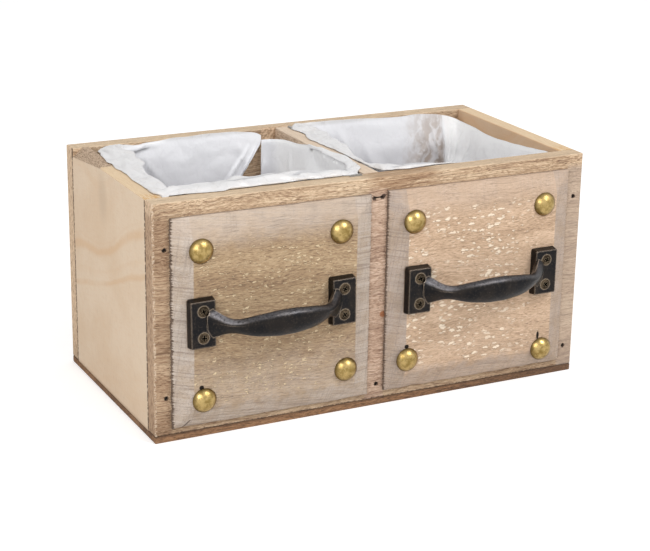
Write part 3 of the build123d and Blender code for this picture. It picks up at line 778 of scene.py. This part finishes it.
BRASS = (0.56, 0.405, 0.165)
BRASS_DEEP = (0.30, 0.205, 0.065)
BRASS_PIT = (0.16, 0.10, 0.03)
BRASS_RIM = (0.13, 0.085, 0.03)

brass = Finish("aged_brass", Metallic=1.0)
field_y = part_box("left_drawer_face")[0].y
tarnish = brass.clouds(300.0, 5.0, 0.65)
pits = brass.clouds(1100.0, 3.0)
near_rim = brass.step(brass.axis("Y"), field_y - 2.9 * MM, field_y - 0.5 * MM)
brass_colour = brass.mix(brass.step(tarnish, 0.38, 0.66), BRASS, BRASS_DEEP)
brass_colour = brass.mix(brass.step(pits, 0.56, 0.70) * 0.4, brass_colour, BRASS_PIT)
brass_colour = brass.mix(near_rim * 0.85, brass_colour, BRASS_RIM)
brass.feed("Base Color", brass_colour)
brass.feed("Roughness", tarnish * 0.28 + pits * 0.10 + 0.14)
brass.relief(pits * 0.35 + tarnish, 0.10 * MM, 0.35)
for side in ("left", "right"):
    brass.put_on(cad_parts[side + "_dome_nails"])

# ----------------------------------------------------------------------
# Pulls: iron castings, blackened, then rubbed so that bronze shows on their edges and ridges. The cast skin
# is finely pitted and a little waxy, and the upper sides of the necks carry a painted highlight.
# ----------------------------------------------------------------------

IRON_BLACK = (0.0065, 0.0065, 0.008)
IRON_BROWN = (0.019, 0.015, 0.013)
IRON_SPECK = (0.060, 0.046, 0.036)
IRON_SHEEN = (0.235, 0.225, 0.24)
IRON_HOLLOW = (0.010, 0.009, 0.009)
RUBBED_BRONZE = (0.42, 0.33, 0.25)


def worn_edges(finish, radius, low, high):
    """A mask of sharp edges and grooves: how far a rounded normal leans from the true one."""
    round_normal = finish.node("Bevel", {"samples": 6}, {"Radius": radius})
    true_normal = finish.node("NewGeometry", output="Normal")
    normals = {0: round_normal, 1: true_normal}
    facing = finish.node("VectorMath", {"operation": "DOT_PRODUCT"}, normals, output="Value")
    return finish.step(1.0 - facing, low, high)


def open_sky(finish, distance):
    """How much of the sky a point sees past what is nearer than distance: 1 in the open, less in a hollow."""
    return finish.node("AmbientOcclusion", {"samples": 8}, {"Distance": distance}, output="AO")


iron = Finish("blackened_iron", Metallic=0.85, Coat_Weight=0.12, Coat_Roughness=0.16)
cast_skin = iron.clouds(900.0, 5.0, 0.7)
patches = iron.clouds(120.0, 4.0)
hollow = iron.step(open_sky(iron, 3.0 * MM), 0.85, 0.60)
rubbed = worn_edges(iron, 1.1 * MM, 0.006, 0.07) * iron.step(cast_skin, 0.26, 0.50) * (1.0 - hollow)
iron_colour = iron.mix(iron.step(patches, 0.35, 0.7), IRON_BLACK, IRON_BROWN)
iron_colour = iron.mix(iron.step(cast_skin, 0.52, 0.68) * 0.6, iron_colour, IRON_SPECK)
# Painted highlight: up-facing surfaces in front of the plates are lightened, most on the left neck of each
# pull.
iron_normal = iron.node("NewGeometry", output="Normal")
facing_up = iron.node("SeparateXYZ", {}, {"Vector": iron_normal}, output="Z")
plate_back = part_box("left_pull")[1].y
before_plates = iron.step(iron.axis("Y"), plate_back - 4.5 * MM, plate_back - 6.5 * MM)
painted_sheen = before_plates * iron.step(facing_up, 0.25, 0.80) * iron.step(cast_skin, 0.30, 0.55)
pull_boxes = [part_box(side + "_pull") for side in ("left", "right")]
pull_centres = [(pull_low.x + pull_high.x) / 2 for pull_low, pull_high in pull_boxes]
left_of_centre = [iron.step(iron.axis("X"), centre - 22 * MM, centre - 30 * MM) for centre in pull_centres]
right_pull_starts = iron.step(iron.axis("X"), -1 * MM, 1 * MM)
on_left_neck = left_of_centre[0] * (1.0 - right_pull_starts) + left_of_centre[1] * right_pull_starts
iron_colour = iron.mix(painted_sheen * (on_left_neck * 0.55 + 0.25), iron_colour, IRON_SHEEN)
iron_colour = iron.mix(rubbed * 0.75, iron_colour, RUBBED_BRONZE)
iron.feed("Base Color", iron.mix(hollow * 0.8, iron_colour, IRON_HOLLOW))
iron.feed("Roughness", patches * 0.20 + cast_skin * 0.22 + 0.12)
iron.relief(cast_skin, 0.16 * MM, 0.5)
for side in ("left", "right"):
    iron.put_on(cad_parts[side + "_pull"])

# ----------------------------------------------------------------------
# Pull screws: cross-recess screws, four in the plates of each pull. Their antique bronze plating is worn to
# brass on its rim, and the middle of a head round its cross recess carries painted shade.
# ----------------------------------------------------------------------

HEAD_RADIUS = 3 * MM
BRONZE = (0.115, 0.085, 0.055)
BRONZE_DEEP = (0.045, 0.032, 0.022)
BRONZE_DISH_SHADE = (0.030, 0.022, 0.015)
WORN_BRASS = (0.55, 0.44, 0.30)
RECESS_SHADE = (0.012, 0.009, 0.007)

bronze = Finish("aged_bronze", Metallic=1.0)
plating = bronze.clouds(700.0, 4.0)
head_wear = worn_edges(bronze, 0.35 * MM, 0.02, 0.2)
bronze_colour = bronze.mix(bronze.step(plating, 0.4, 0.7), BRONZE, BRONZE_DEEP)
screws_low, screws_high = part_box("left_pull_screws")
half_width, half_height = (screws_high.x - screws_low.x) / 2, (screws_high.z - screws_low.z) / 2
across_heads = [abs(abs(bronze.axis("X") - centre) - half_width + HEAD_RADIUS) for centre in pull_centres]
across_head = bronze.node("Math", {"operation": "MINIMUM"}, {0: across_heads[0], 1: across_heads[1]})
middle_z = (screws_high.z + screws_low.z) / 2
up_head = abs(abs(bronze.axis("Z") - middle_z) - half_height + HEAD_RADIUS)
from_middle = (across_head**2.0 + up_head**2.0) ** 0.5
# Painted shade: the middle of each head, round its cross recess, is darkened.
dished = bronze.step(from_middle, 2.35 * MM, 1.75 * MM)
bronze_colour = bronze.mix(dished * 0.8, bronze_colour, BRONZE_DISH_SHADE)
bronze_colour = bronze.mix(head_wear * 0.8, bronze_colour, WORN_BRASS)
# Painted shade: where a point sees little sky, in the cross recess, the head is painted near black.
in_recess = bronze.step(open_sky(bronze, 2.2 * MM), 0.90, 0.62)
bronze.feed("Base Color", bronze.mix(in_recess * 0.95, bronze_colour, RECESS_SHADE))
bronze.feed("Roughness", plating * 0.25 + 0.25)
for side in ("left", "right"):
    bronze.put_on(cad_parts[side + "_pull_screws"])

# ----------------------------------------------------------------------
# Film liners: bags of thin milky film that keep soil off the wood. Each is pressed down into its room, its
# mouth turned over in a loose soft cuff, and stapled near the top. The left one is slit down a corner.
# ----------------------------------------------------------------------

FILM_THICKNESS = 0.2 * MM
FLOOR_LIFT = 1.2 * MM
CUFF_ROWS = 26
WALL_ROWS = 54
FLOOR_ROWS = 10
AROUND = 420
STRAY_CREASES = 34
ROLL = pi + radians(100)  # how far round a cuff turns
CUFF_ROUND = 74 * MM
STRIP = 7.5 * MM  # from the slit's edge to the pleat beside it
CLEAR_STRETCH = 0.35
FILM_DEEP_SHADE = (0.67, 0.665, 0.69)
FILM_NEAR = (0.89, 0.89, 0.915)
FILM_LIT = (0.96, 0.955, 0.95)
FILM_CUFF_SHADE = (0.745, 0.735, 0.735)
FILM_THIN = (0.66, 0.61, 0.57)
FILM_CREASE_SHADE = (0.50, 0.49, 0.51)
FILM_FOLD_SHADOW = (0.42, 0.42, 0.45)
WOOD_BEHIND_IN_SHADE = (0.44, 0.345, 0.28)
WOOD_BEHIND_HIGH = (0.66, 0.58, 0.53)
base_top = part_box("base_board")[1].z
board_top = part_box("front_board")[1].z


def finish_film(name, clear_corner, pleat_x, lit_side_x, seam):
    """Milky film, clearer where a pleat presses it on the wood, with light and shade painted into its colour.
    The seam is a fold along the front cuff, drawn dark as a painted shadow line.
    """
    film = Finish(name, Roughness=0.30, Specular_IOR_Level=0.45)
    x, z = film.axis("X"), film.axis("Z")
    crinkle = film.clouds(150.0, 4.0, distortion=0.8)
    wobble = film.clouds(60.0, 3.0, output=1)
    moved = film.node("Mix", {"data_type": "VECTOR"}, {0: 0.02, 4: film.place, 5: wobble}, output=1)
    facets = film.node("Mapping", {}, {"Vector": moved, "Scale": (1.0, 1.0, 0.55)})
    edge = {"feature": "DISTANCE_TO_EDGE"}
    broad = film.node("TexVoronoi", edge, {"Vector": facets, "Scale": 46.0})
    small = film.node("TexVoronoi", edge, {"Vector": facets, "Scale": 125.0})
    # Painted shade: the film darkens deeper in the bag.
    depth = film.step(z, board_top - 6 * MM, board_top - 36 * MM)
    milk = film.mix(depth, FILM_NEAR, FILM_DEEP_SHADE)
    # Painted light: the film is lighter past lit_side_x.
    milk = film.mix(film.step(x, *lit_side_x), milk, FILM_LIT)
    on_cuff = film.step(z, board_top - 2 * MM, board_top + 0.5 * MM)
    # Painted shade on the cuffs, which face up into the lamps.
    milk = film.mix(on_cuff, milk, FILM_CUFF_SHADE)
    thin = film.step(crinkle, 0.50, 0.68) * on_cuff
    milk = film.mix(thin * 0.30, milk, FILM_THIN)
    # Painted shade in the creases between the crumpled facets.
    crease_shade = film.step(small, 0.07, 0.0) * film.step(crinkle, 0.42, 0.55)
    milk = film.mix(crease_shade * (on_cuff * 0.20 + 0.08), milk, FILM_CREASE_SHADE)
    tall = film.node("Mapping", {}, {"Vector": film.place, "Scale": (1.0, 1.0, CLEAR_STRETCH)})
    corner = (clear_corner[0], clear_corner[1], clear_corner[2] * CLEAR_STRETCH)
    reach = film.node("VectorMath", {"operation": "DISTANCE"}, {0: tall, 1: corner}, output="Value")
    clear = film.step(reach + crinkle * (13 * MM), 30 * MM, 11 * MM)
    clear = clear * film.step(x, pleat_x + 0.8 * MM, pleat_x)
    leaning = {"Vector": moved, "Scale": (210.0, 210.0, 60.0), "Rotation": (0.0, 0.5, 0.0)}
    strands = film.node("Mapping", {}, leaning)
    wisps = film.step(film.node("TexNoise", {}, {"Vector": strands, "Scale": 1.0, "Detail": 3.0}), 0.42, 0.64)
    through = clear * (1.0 - wisps * 0.7)
    # The wood seen through the clear film darkens lower down: painted shade deeper in the bag.
    near_top = film.step(z, board_top - 30 * MM, board_top - 6 * MM)
    wood_seen = film.mix(near_top, WOOD_BEHIND_IN_SHADE, WOOD_BEHIND_HIGH)
    milk = film.mix(through * 0.85, milk, wood_seen)
    y = film.axis("Y")
    # The fold along the front cuff is drawn as a painted shadow line between its two layers.
    fold = film.step(abs(y - seam[0] + (crinkle - 0.5) * (1.5 * MM)), 1.5 * MM, 0.5 * MM) * on_cuff
    fold = fold * film.step(x, seam[1], seam[1] + 6 * MM) * film.step(x, seam[2], seam[2] - 6 * MM)
    milk = film.mix(fold * 0.55, milk, FILM_FOLD_SHADOW)
    film.feed("Base Color", milk)
    film.feed("Alpha", 0.96 - through * 0.20)
    height = broad * 1.0 + small * (on_cuff * 0.22 + 0.12) + crinkle * 0.22 - fold * 0.4
    film.relief(height, 2.4 * MM, 0.40)
    return film


def smooth_through(points, count, closed):
    """Spreads count places along a smooth line through the given rows of numbers."""
    rows = []
    last = len(points) if closed else len(points) - 1
    for index in range(count):
        at = index / (count if closed else count - 1) * last
        here = min(int(at), last - 1)
        t = at - here
        near = []
        for step in (-1, 0, 1, 2):
            if closed:
                near.append(points[(here + step) % len(points)])
            else:
                near.append(points[min(max(here + step, 0), len(points) - 1)])
        row = []
        for a, b, c, d in zip(*near):
            bend, twist = 2 * a - 5 * b + 4 * c - d, 3 * b - a - 3 * c + d
            row.append(0.5 * (2 * b + (c - a) * t + bend * t * t + twist * t**3))
        rows.append(row)
    return rows


def given_creases(rows):
    """Creases from rows in millimetres: the start's X, Y and Z, the end's, the height and the width."""
    creases = []
    for row in rows:
        numbers = [number * MM for number in row]
        creases.append((Vector(numbers[:3]), Vector(numbers[3:6]), numbers[6], numbers[7]))
    return creases


def stray_creases(room, count, dice):
    """Chance creases of thin film: each runs down a wall from near its top."""
    low, high = room
    creases = []
    for _ in range(count):
        wall = dice.choice(("back", "back", "front", "left", "right"))
        top = board_top - dice.uniform(0, 35) * MM
        bottom = top - dice.uniform(12, 60) * MM
        place, slip = dice.random(), dice.uniform(-0.25, 0.25)
        ends = []
        for share, z in ((place, top), (place + slip, bottom)):
            share = min(1.0, max(0.0, share))
            if wall in ("front", "back"):
                x, y = low.x + (high.x - low.x) * share, high.y if wall == "back" else low.y
            else:
                x, y = low.x if wall == "left" else high.x, low.y + (high.y - low.y) * share
            ends.append(Vector((x, y, z)))
        creases.append((*ends, dice.uniform(-1.0, 2.4) * MM, dice.uniform(1.6, 6.0) * MM))
    return creases


def hang_film(name, room, mouth, closed, seed, finish, creases, slit=None):
    """A bag in a room given by its low and high corner: mouth has x, y, top, cuff width and cuff height."""
    stations = smooth_through(mouth, AROUND, closed)
    columns = AROUND + 1 if closed else AROUND
    if closed:
        stations.append(stations[0])
    rows = CUFF_ROWS + WALL_ROWS + FLOOR_ROWS
    bpy.ops.object.select_all(action="DESELECT")
    bpy.ops.mesh.primitive_grid_add(x_subdivisions=columns - 1, y_subdivisions=rows - 1, size=1)
    film = bpy.context.object
    film.name = name
    middle = (room[0] + room[1]) / 2
    half = (room[1] - room[0]) / 2
    floor = base_top + FLOOR_LIFT
    folds = creases + stray_creases(room, STRAY_CREASES, random.Random(seed))

    def norm(x, y, power=9.0):
        """How far out a place is in the room, from 0 in its middle to 1 on its rounded walls."""
        return (abs((x - middle.x) / half.x) ** power + abs((y - middle.y) / half.y) ** power) ** (1 / power)

    def fall(distance):
        """Falls from 1 towards 0, by a factor of 2.7 for each unit."""
        return 2.718 ** (-distance)

    def inside(point, gap, lapping):
        """Keeps a point off the walls of the room, or above the boards where the cuff laps over them."""
        over = max(abs(point.x - middle.x) - half.x, abs(point.y - middle.y) - half.y)
        if over > -gap and point.z < board_top + gap:
            if over > 0 and lapping:
                point.z = board_top + gap
            else:
                point.x = middle.x + min(max(point.x - middle.x, gap - half.x), half.x - gap)
                point.y = middle.y + min(max(point.y - middle.y, gap - half.y), half.y - gap)
        point.z = max(point.z, base_top + gap)
        return point

    def crumple(place):
        """Facets of crushed film, a unit across: 0 at their creases, up to about a half in their middles."""
        near = noise.voronoi(place + 0.3 * noise.noise_vector(place * 1.1))[0]
        return near[1] - near[0]

    def fold_at(place):
        """How far the creases near a place lift the film off its wall."""
        lift = 0.0
        for start, end, height, width in folds:
            run = end - start
            share = min(1.0, max(0.0, (place - start).dot(run) / run.length_squared))
            away = place - start - run * share
            for axis in (0, 1):
                if run[axis] == 0 and abs(away[axis]) < 18 * MM:
                    away[axis] = 0.0
            if away.length < 4 * width:
                beyond = run.x * away.z - run.z * away.x + run.z * away.y - run.y * away.z < 0
                steep = 0.22 if beyond else 1.0
                lift += height * fall(away.length / (width * steep)) * (1 - 0.5 * share)
        return lift

    for column, (x, y, top, width, height) in enumerate(stations):
        x, y, top, width, height = x * MM, y * MM, top * MM, width * MM, height * MM
        size = norm(x, y)
        foot = Vector((middle.x + (x - middle.x) / size, middle.y + (y - middle.y) / size, floor))
        foot.x = middle.x + (foot.x - middle.x) * (1 - 1.2 * MM / half.x)
        foot.y = middle.y + (foot.y - middle.y) * (1 - 1.2 * MM / half.y)
        slope_x = (x - middle.x) / half.x
        slope_y = (y - middle.y) / half.y
        slope_x, slope_y = slope_x * abs(slope_x) ** 5 / half.x, slope_y * abs(slope_y) ** 5 / half.y
        inward = -Vector((slope_x, slope_y, 0)).normalized()
        outer = Vector((x, y, 0))
        width *= 1 + 0.16 * noise.noise(Vector((x * 60, y * 60, seed)))
        height *= 1 + 0.2 * noise.noise(Vector((x * 45, y * 45, seed + 9)))
        top += 0.6 * MM * noise.noise(Vector((x * 75, y * 75, seed + 4)))
        rolled = min(1.0, max(0.0, (width - 0.9 * MM) / (2.4 * MM)))
        turned = 2 * pi * column / AROUND
        round_x, round_y = CUFF_ROUND * cos(turned), CUFF_ROUND * sin(turned)
        for row in range(rows):
            if row < CUFF_ROWS:
                share = row / (CUFF_ROWS - 1)
                plain = outer + inward * width * share
                plain.z = top - height * share
                place = plain
                if rolled > 0:
                    turn = pi - ROLL * share
                    pleat = noise.noise(Vector((x * 42, y * 42, seed + 1.1 * share)))
                    swell = 1 + 0.22 * (1 - 3.0 * abs(pleat))
                    swell += 0.10 * noise.noise(Vector((x * 130, y * 130, 5 * share)))
                    place = outer + inward * (width / 2) * (1 + swell * cos(turn))
                    place.z = top - height / 2 + swell * height / 2 * sin(turn)
                    spread = Vector((round_x, round_y, 0)) / (24 * MM)
                    spread.z = turn * (width + height) / 4 / (6 * MM) + seed
                    lift = fold_at(place) * 0.8
                    lift += 3.0 * MM * (crumple(spread) - 0.35) * min(1.0, width / (10 * MM))
                    place += inward * lift * cos(turn) + Vector((0, 0, lift * sin(turn)))
                    place = plain.lerp(place, rolled)
                cuff_end = place.copy()
            elif row < CUFF_ROWS + WALL_ROWS:
                share = (row - CUFF_ROWS + 1) / WALL_ROWS
                ease = 1 - (1 - min(1.0, share * 3.2)) ** 2
                place = Vector((foot.x, foot.y, 0)) * ease + Vector((cuff_end.x, cuff_end.y, 0)) * (1 - ease)
                place.z = cuff_end.z + (floor - cuff_end.z) * share
                if slit is not None:
                    nearness = max(0.0, 1 - column / slit[0])
                    depth = (board_top - 8 * MM - place.z) / (28 * MM)
                    place.x += slit[1] * nearness * max(0.0, min(1.0, depth, (1 - share) * 2.0))
                    aside = column * slit[2]
                    strip = 1.8 * MM * fall(((aside - STRIP) / MM) ** 2)
                    strip += 1.4 * MM * fall(((aside - 0.45 * STRIP) / (0.8 * MM)) ** 2)
                else:
                    strip = 0.0
                bulge = noise.noise(place * 21 + Vector((seed, seed, 0))) + 0.45 * noise.noise(place * 60)
                lift = 2.0 * MM * (0.35 + bulge) + fold_at(place) + strip
                lift += 1.3 * MM * crumple(place / (26 * MM))
                lift *= min(1.0, share * 9) * min(1.0, (1.03 - share) * 8)
                place += inward * (max(0.0, lift) + 3 * MM * max(0.0, (share - 0.93) / 0.07) ** 2)
                wall_end = place.copy()
            else:
                share = (row - CUFF_ROWS - WALL_ROWS + 1) / FLOOR_ROWS
                place = Vector((wall_end.x, wall_end.y, floor))
                place = place.lerp(Vector((middle.x, middle.y, floor)), share)
                hump = max(0.0, noise.noise(place * 55 + Vector((0, 0, seed))))
                place.z += 2 * MM * hump * min(1.0, 5 * (1 - share))
            lapping = row < CUFF_ROWS * 0.55
            film.data.vertices[row * columns + column].co = inside(place, 0.5 * MM, lapping)
    bpy.ops.object.mode_set(mode="EDIT")
    bpy.ops.mesh.select_all(action="SELECT")
    bpy.ops.mesh.remove_doubles(threshold=0.02 * MM)
    bpy.ops.mesh.normals_make_consistent(inside=False)
    bpy.ops.object.mode_set(mode="OBJECT")
    bpy.ops.object.shade_smooth()
    wall = film.modifiers.new("film_thickness", "SOLIDIFY")
    wall.thickness = FILM_THICKNESS
    wall.offset = 0
    bpy.ops.object.modifier_apply(modifier=wall.name)
    finish.put_on(film)
    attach(film, "root")
    return film


case_inner_low = Vector((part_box("left_side_panel")[1].x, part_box("front_board")[1].y, base_top))
case_inner_high = Vector((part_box("right_side_panel")[0].x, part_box("back_board")[0].y, board_top))
divider_low, divider_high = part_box("centre_divider")

# Round the left room from the slit at its back right corner: back, left, front, then the divider. A row has
# the rim's X, Y and top, and the cuff's width and height, in millimetres.
left_mouth = [
    (-14.2, 55.4, 127.6, 0.8, 3.0),
    (-20, 55.4, 130.0, 0.8, 3.5),
    (-34, 55.4, 131.3, 0.8, 4.0),
    (-53, 55.4, 131.6, 0.8, 4.5),
    (-70, 55.4, 131.4, 0.8, 5.0),
    (-84, 55.3, 130.4, 1.9, 3.5),
    (-91, 55.6, 130.0, 4.5, 4.0),
    (-101, 56.0, 131.6, 8.0, 5.0),
    (-108.5, 55.5, 132.6, 12.0, 5.0),
    (-115.5, 49.5, 132.8, 15.0, 5.5),
    (-118.8, 37, 132.4, 17.0, 5.5),
    (-120.8, 20, 132.4, 16.5, 5.5),
    (-121.8, -2, 132.5, 13.0, 5.5),
    (-122.2, -22, 132.6, 11.0, 5.5),
    (-122.0, -42, 132.8, 10.5, 5.5),
    (-119.5, -54, 133.2, 11.0, 5.5),
    (-108, -57.6, 133.6, 14.0, 6.0),
    (-92, -57.3, 133.6, 14.0, 6.0),
    (-84, -57.2, 134.2, 14.0, 6.0),
    (-76, -57.2, 134.7, 14.0, 6.5),
    (-62, -57.0, 134.4, 12.5, 6.0),
    (-47, -56.8, 133.8, 11.5, 5.5),
    (-31, -56.8, 133.5, 10.5, 5.5),
    (-19, -57.0, 133.3, 10.0, 5.5),
    (-11, -57.2, 133.1, 9.5, 6.0),
    (-6.0, -52.0, 132.9, 7.5, 4.0),
    (-0.5, -41, 132.4, 6.4, 3.0),
    (1.8, -28, 132.0, 6.4, 2.0),
    (1.2, -15, 131.8, 5.8, 1.8),
    (-0.8, -4, 131.7, 4.2, 1.8),
    (-3.6, 6, 131.6, 2.0, 1.8),
    (-4.9, 17, 130.2, 0.8, 1.5),
    (-4.9, 32, 128.0, 0.8, 1.5),
    (-6.2, 42, 127.0, 0.8, 1.5),
    (-9.6, 49.5, 126.2, 0.8, 1.5),
    (-14.3, 54.6, 125.0, 0.8, 1.5),
]
left_room = (case_inner_low, Vector((divider_low.x, case_inner_high.y, board_top)))
left_milk = finish_film(
    "left_milky_film",
    clear_corner=(-0.020, 0.055, 0.040),
    pleat_x=-0.030,
    lit_side_x=(-0.011, -0.007),
    seam=(-0.0515, -0.086, -0.008),
)
left_creases = [
    (-20, 56, 126, -40, 56, 98, 2.6, 1.6),
    (-95, 56, 120, -60, 56, 117, 1.8, 2.5),
    (-52, 56, 121, -26, 56, 119, 1.6, 2.0),
    (-4.5, -20, 126, -4.5, 30, 96, 1.8, 4.0),
    (-98, 56, 122.5, -24, 56, 122.5, 1.3, 0.9),
    (-80, -50, 134.5, -12, -51.5, 133.5, -1.8, 0.7),
    (-118, -45, 132.5, -86, -52, 134, -1.2, 0.9),
    (-106, 50, 132, -112, 5, 132, -2.0, 1.0),
    (-116, 42, 132, -106, 18, 130, 1.6, 1.4),
]
LEFT_SLIT = (70, -18 * MM, 1.1 * MM)  # columns that gape, how far, and how far apart they are
left_folds = given_creases(left_creases)
left_film = hang_film("left_film_liner", left_room, left_mouth, False, 3.0, left_milk, left_folds, LEFT_SLIT)
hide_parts("left_liner")

# Round the right room from its back left corner: back, right, front, then the divider, in the same way.
right_mouth = [
    (6.0, 54.5, 132.8, 6.0, 3.0),
    (13, 55.6, 132.6, 2.0, 3.5),
    (31, 55.4, 132.1, 0.8, 4.0),
    (55, 55.4, 131.3, 0.8, 4.0),
    (76, 55.4, 130.2, 0.8, 4.0),
    (90, 55.4, 130.6, 0.8, 4.0),
    (101, 55.4, 130.2, 0.8, 4.0),
    (107, 55.2, 128.9, 0.8, 3.0),
    (115, 54.6, 126.5, 0.8, 3.0),
    (119.6, 48, 124.8, 0.8, 2.5),
    (120.0, 36, 124.0, 0.8, 2.5),
    (120.0, 17, 122.9, 0.8, 2.5),
    (120.0, -2, 123.9, 0.8, 2.5),
    (120.0, -21, 125.4, 0.8, 2.5),
    (119.9, -40, 127.5, 0.8, 2.5),
    (117, -53, 129.0, 1.4, 3.0),
    (105, -55.4, 130.0, 1.2, 3.0),
    (80, -55.4, 130.6, 1.2, 3.0),
    (55, -55.4, 131.2, 1.6, 3.0),
    (34, -56.6, 132.2, 4.0, 3.0),
    (17, -57.6, 132.7, 7.5, 3.5),
    (7.4, -54, 132.6, 6.0, 3.5),
    (4.2, -40, 132.3, 2.4, 2.5),
    (3.8, -30, 132.4, 3.6, 3.0),
    (3.4, -14, 132.6, 7.5, 4.0),
    (3.2, 4, 132.9, 12.0, 5.0),
    (2.2, 22, 133.1, 16.5, 5.5),
    (2.6, 38, 133.1, 16.5, 5.5),
    (3.6, 49, 133.0, 10.5, 5.0),
]
right_room = (Vector((divider_high.x, case_inner_low.y, base_top)), case_inner_high)
right_milk = finish_film(
    "right_milky_film",
    clear_corner=(0.101, 0.056, 0.104),
    pleat_x=0.1080,
    lit_side_x=(0.106, 0.113),
    seam=(-0.0550, 0.010, 0.040),
)
right_creases = [
    (109.2, 56, 130, 110, 56, 92, 5.0, 1.8),
    (98, 56, 127, 106, 56, 104, 2.6, 2.2),
    (96, 56, 110, 86, 56, 96, 2.4, 2.5),
    (116.5, 56, 127, 113, 56, 90, 3.2, 2.4),
    (120.5, 44, 124, 120.5, 53, 88, 3.2, 2.6),
    (120.5, 20, 122, 120.5, 36, 92, 1.8, 3.5),
    (120.5, 30, 123.5, 120.5, 44, 98, 3.6, 2.2),
    (33, 56, 129, 50, 56, 100, 2.8, 3.0),
    (14, 56, 124.5, 88, 56, 122.5, 1.3, 0.9),
    (6, 50, 133, 11, 8, 132.5, -1.6, 0.9),
    (14, 48, 133, 11, -12, 132, 1.4, 1.2),
]
right_folds = given_creases(right_creases)
right_film = hang_film("right_film_liner", right_room, right_mouth, True, 7.0, right_milk, right_folds)
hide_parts("right_liner")
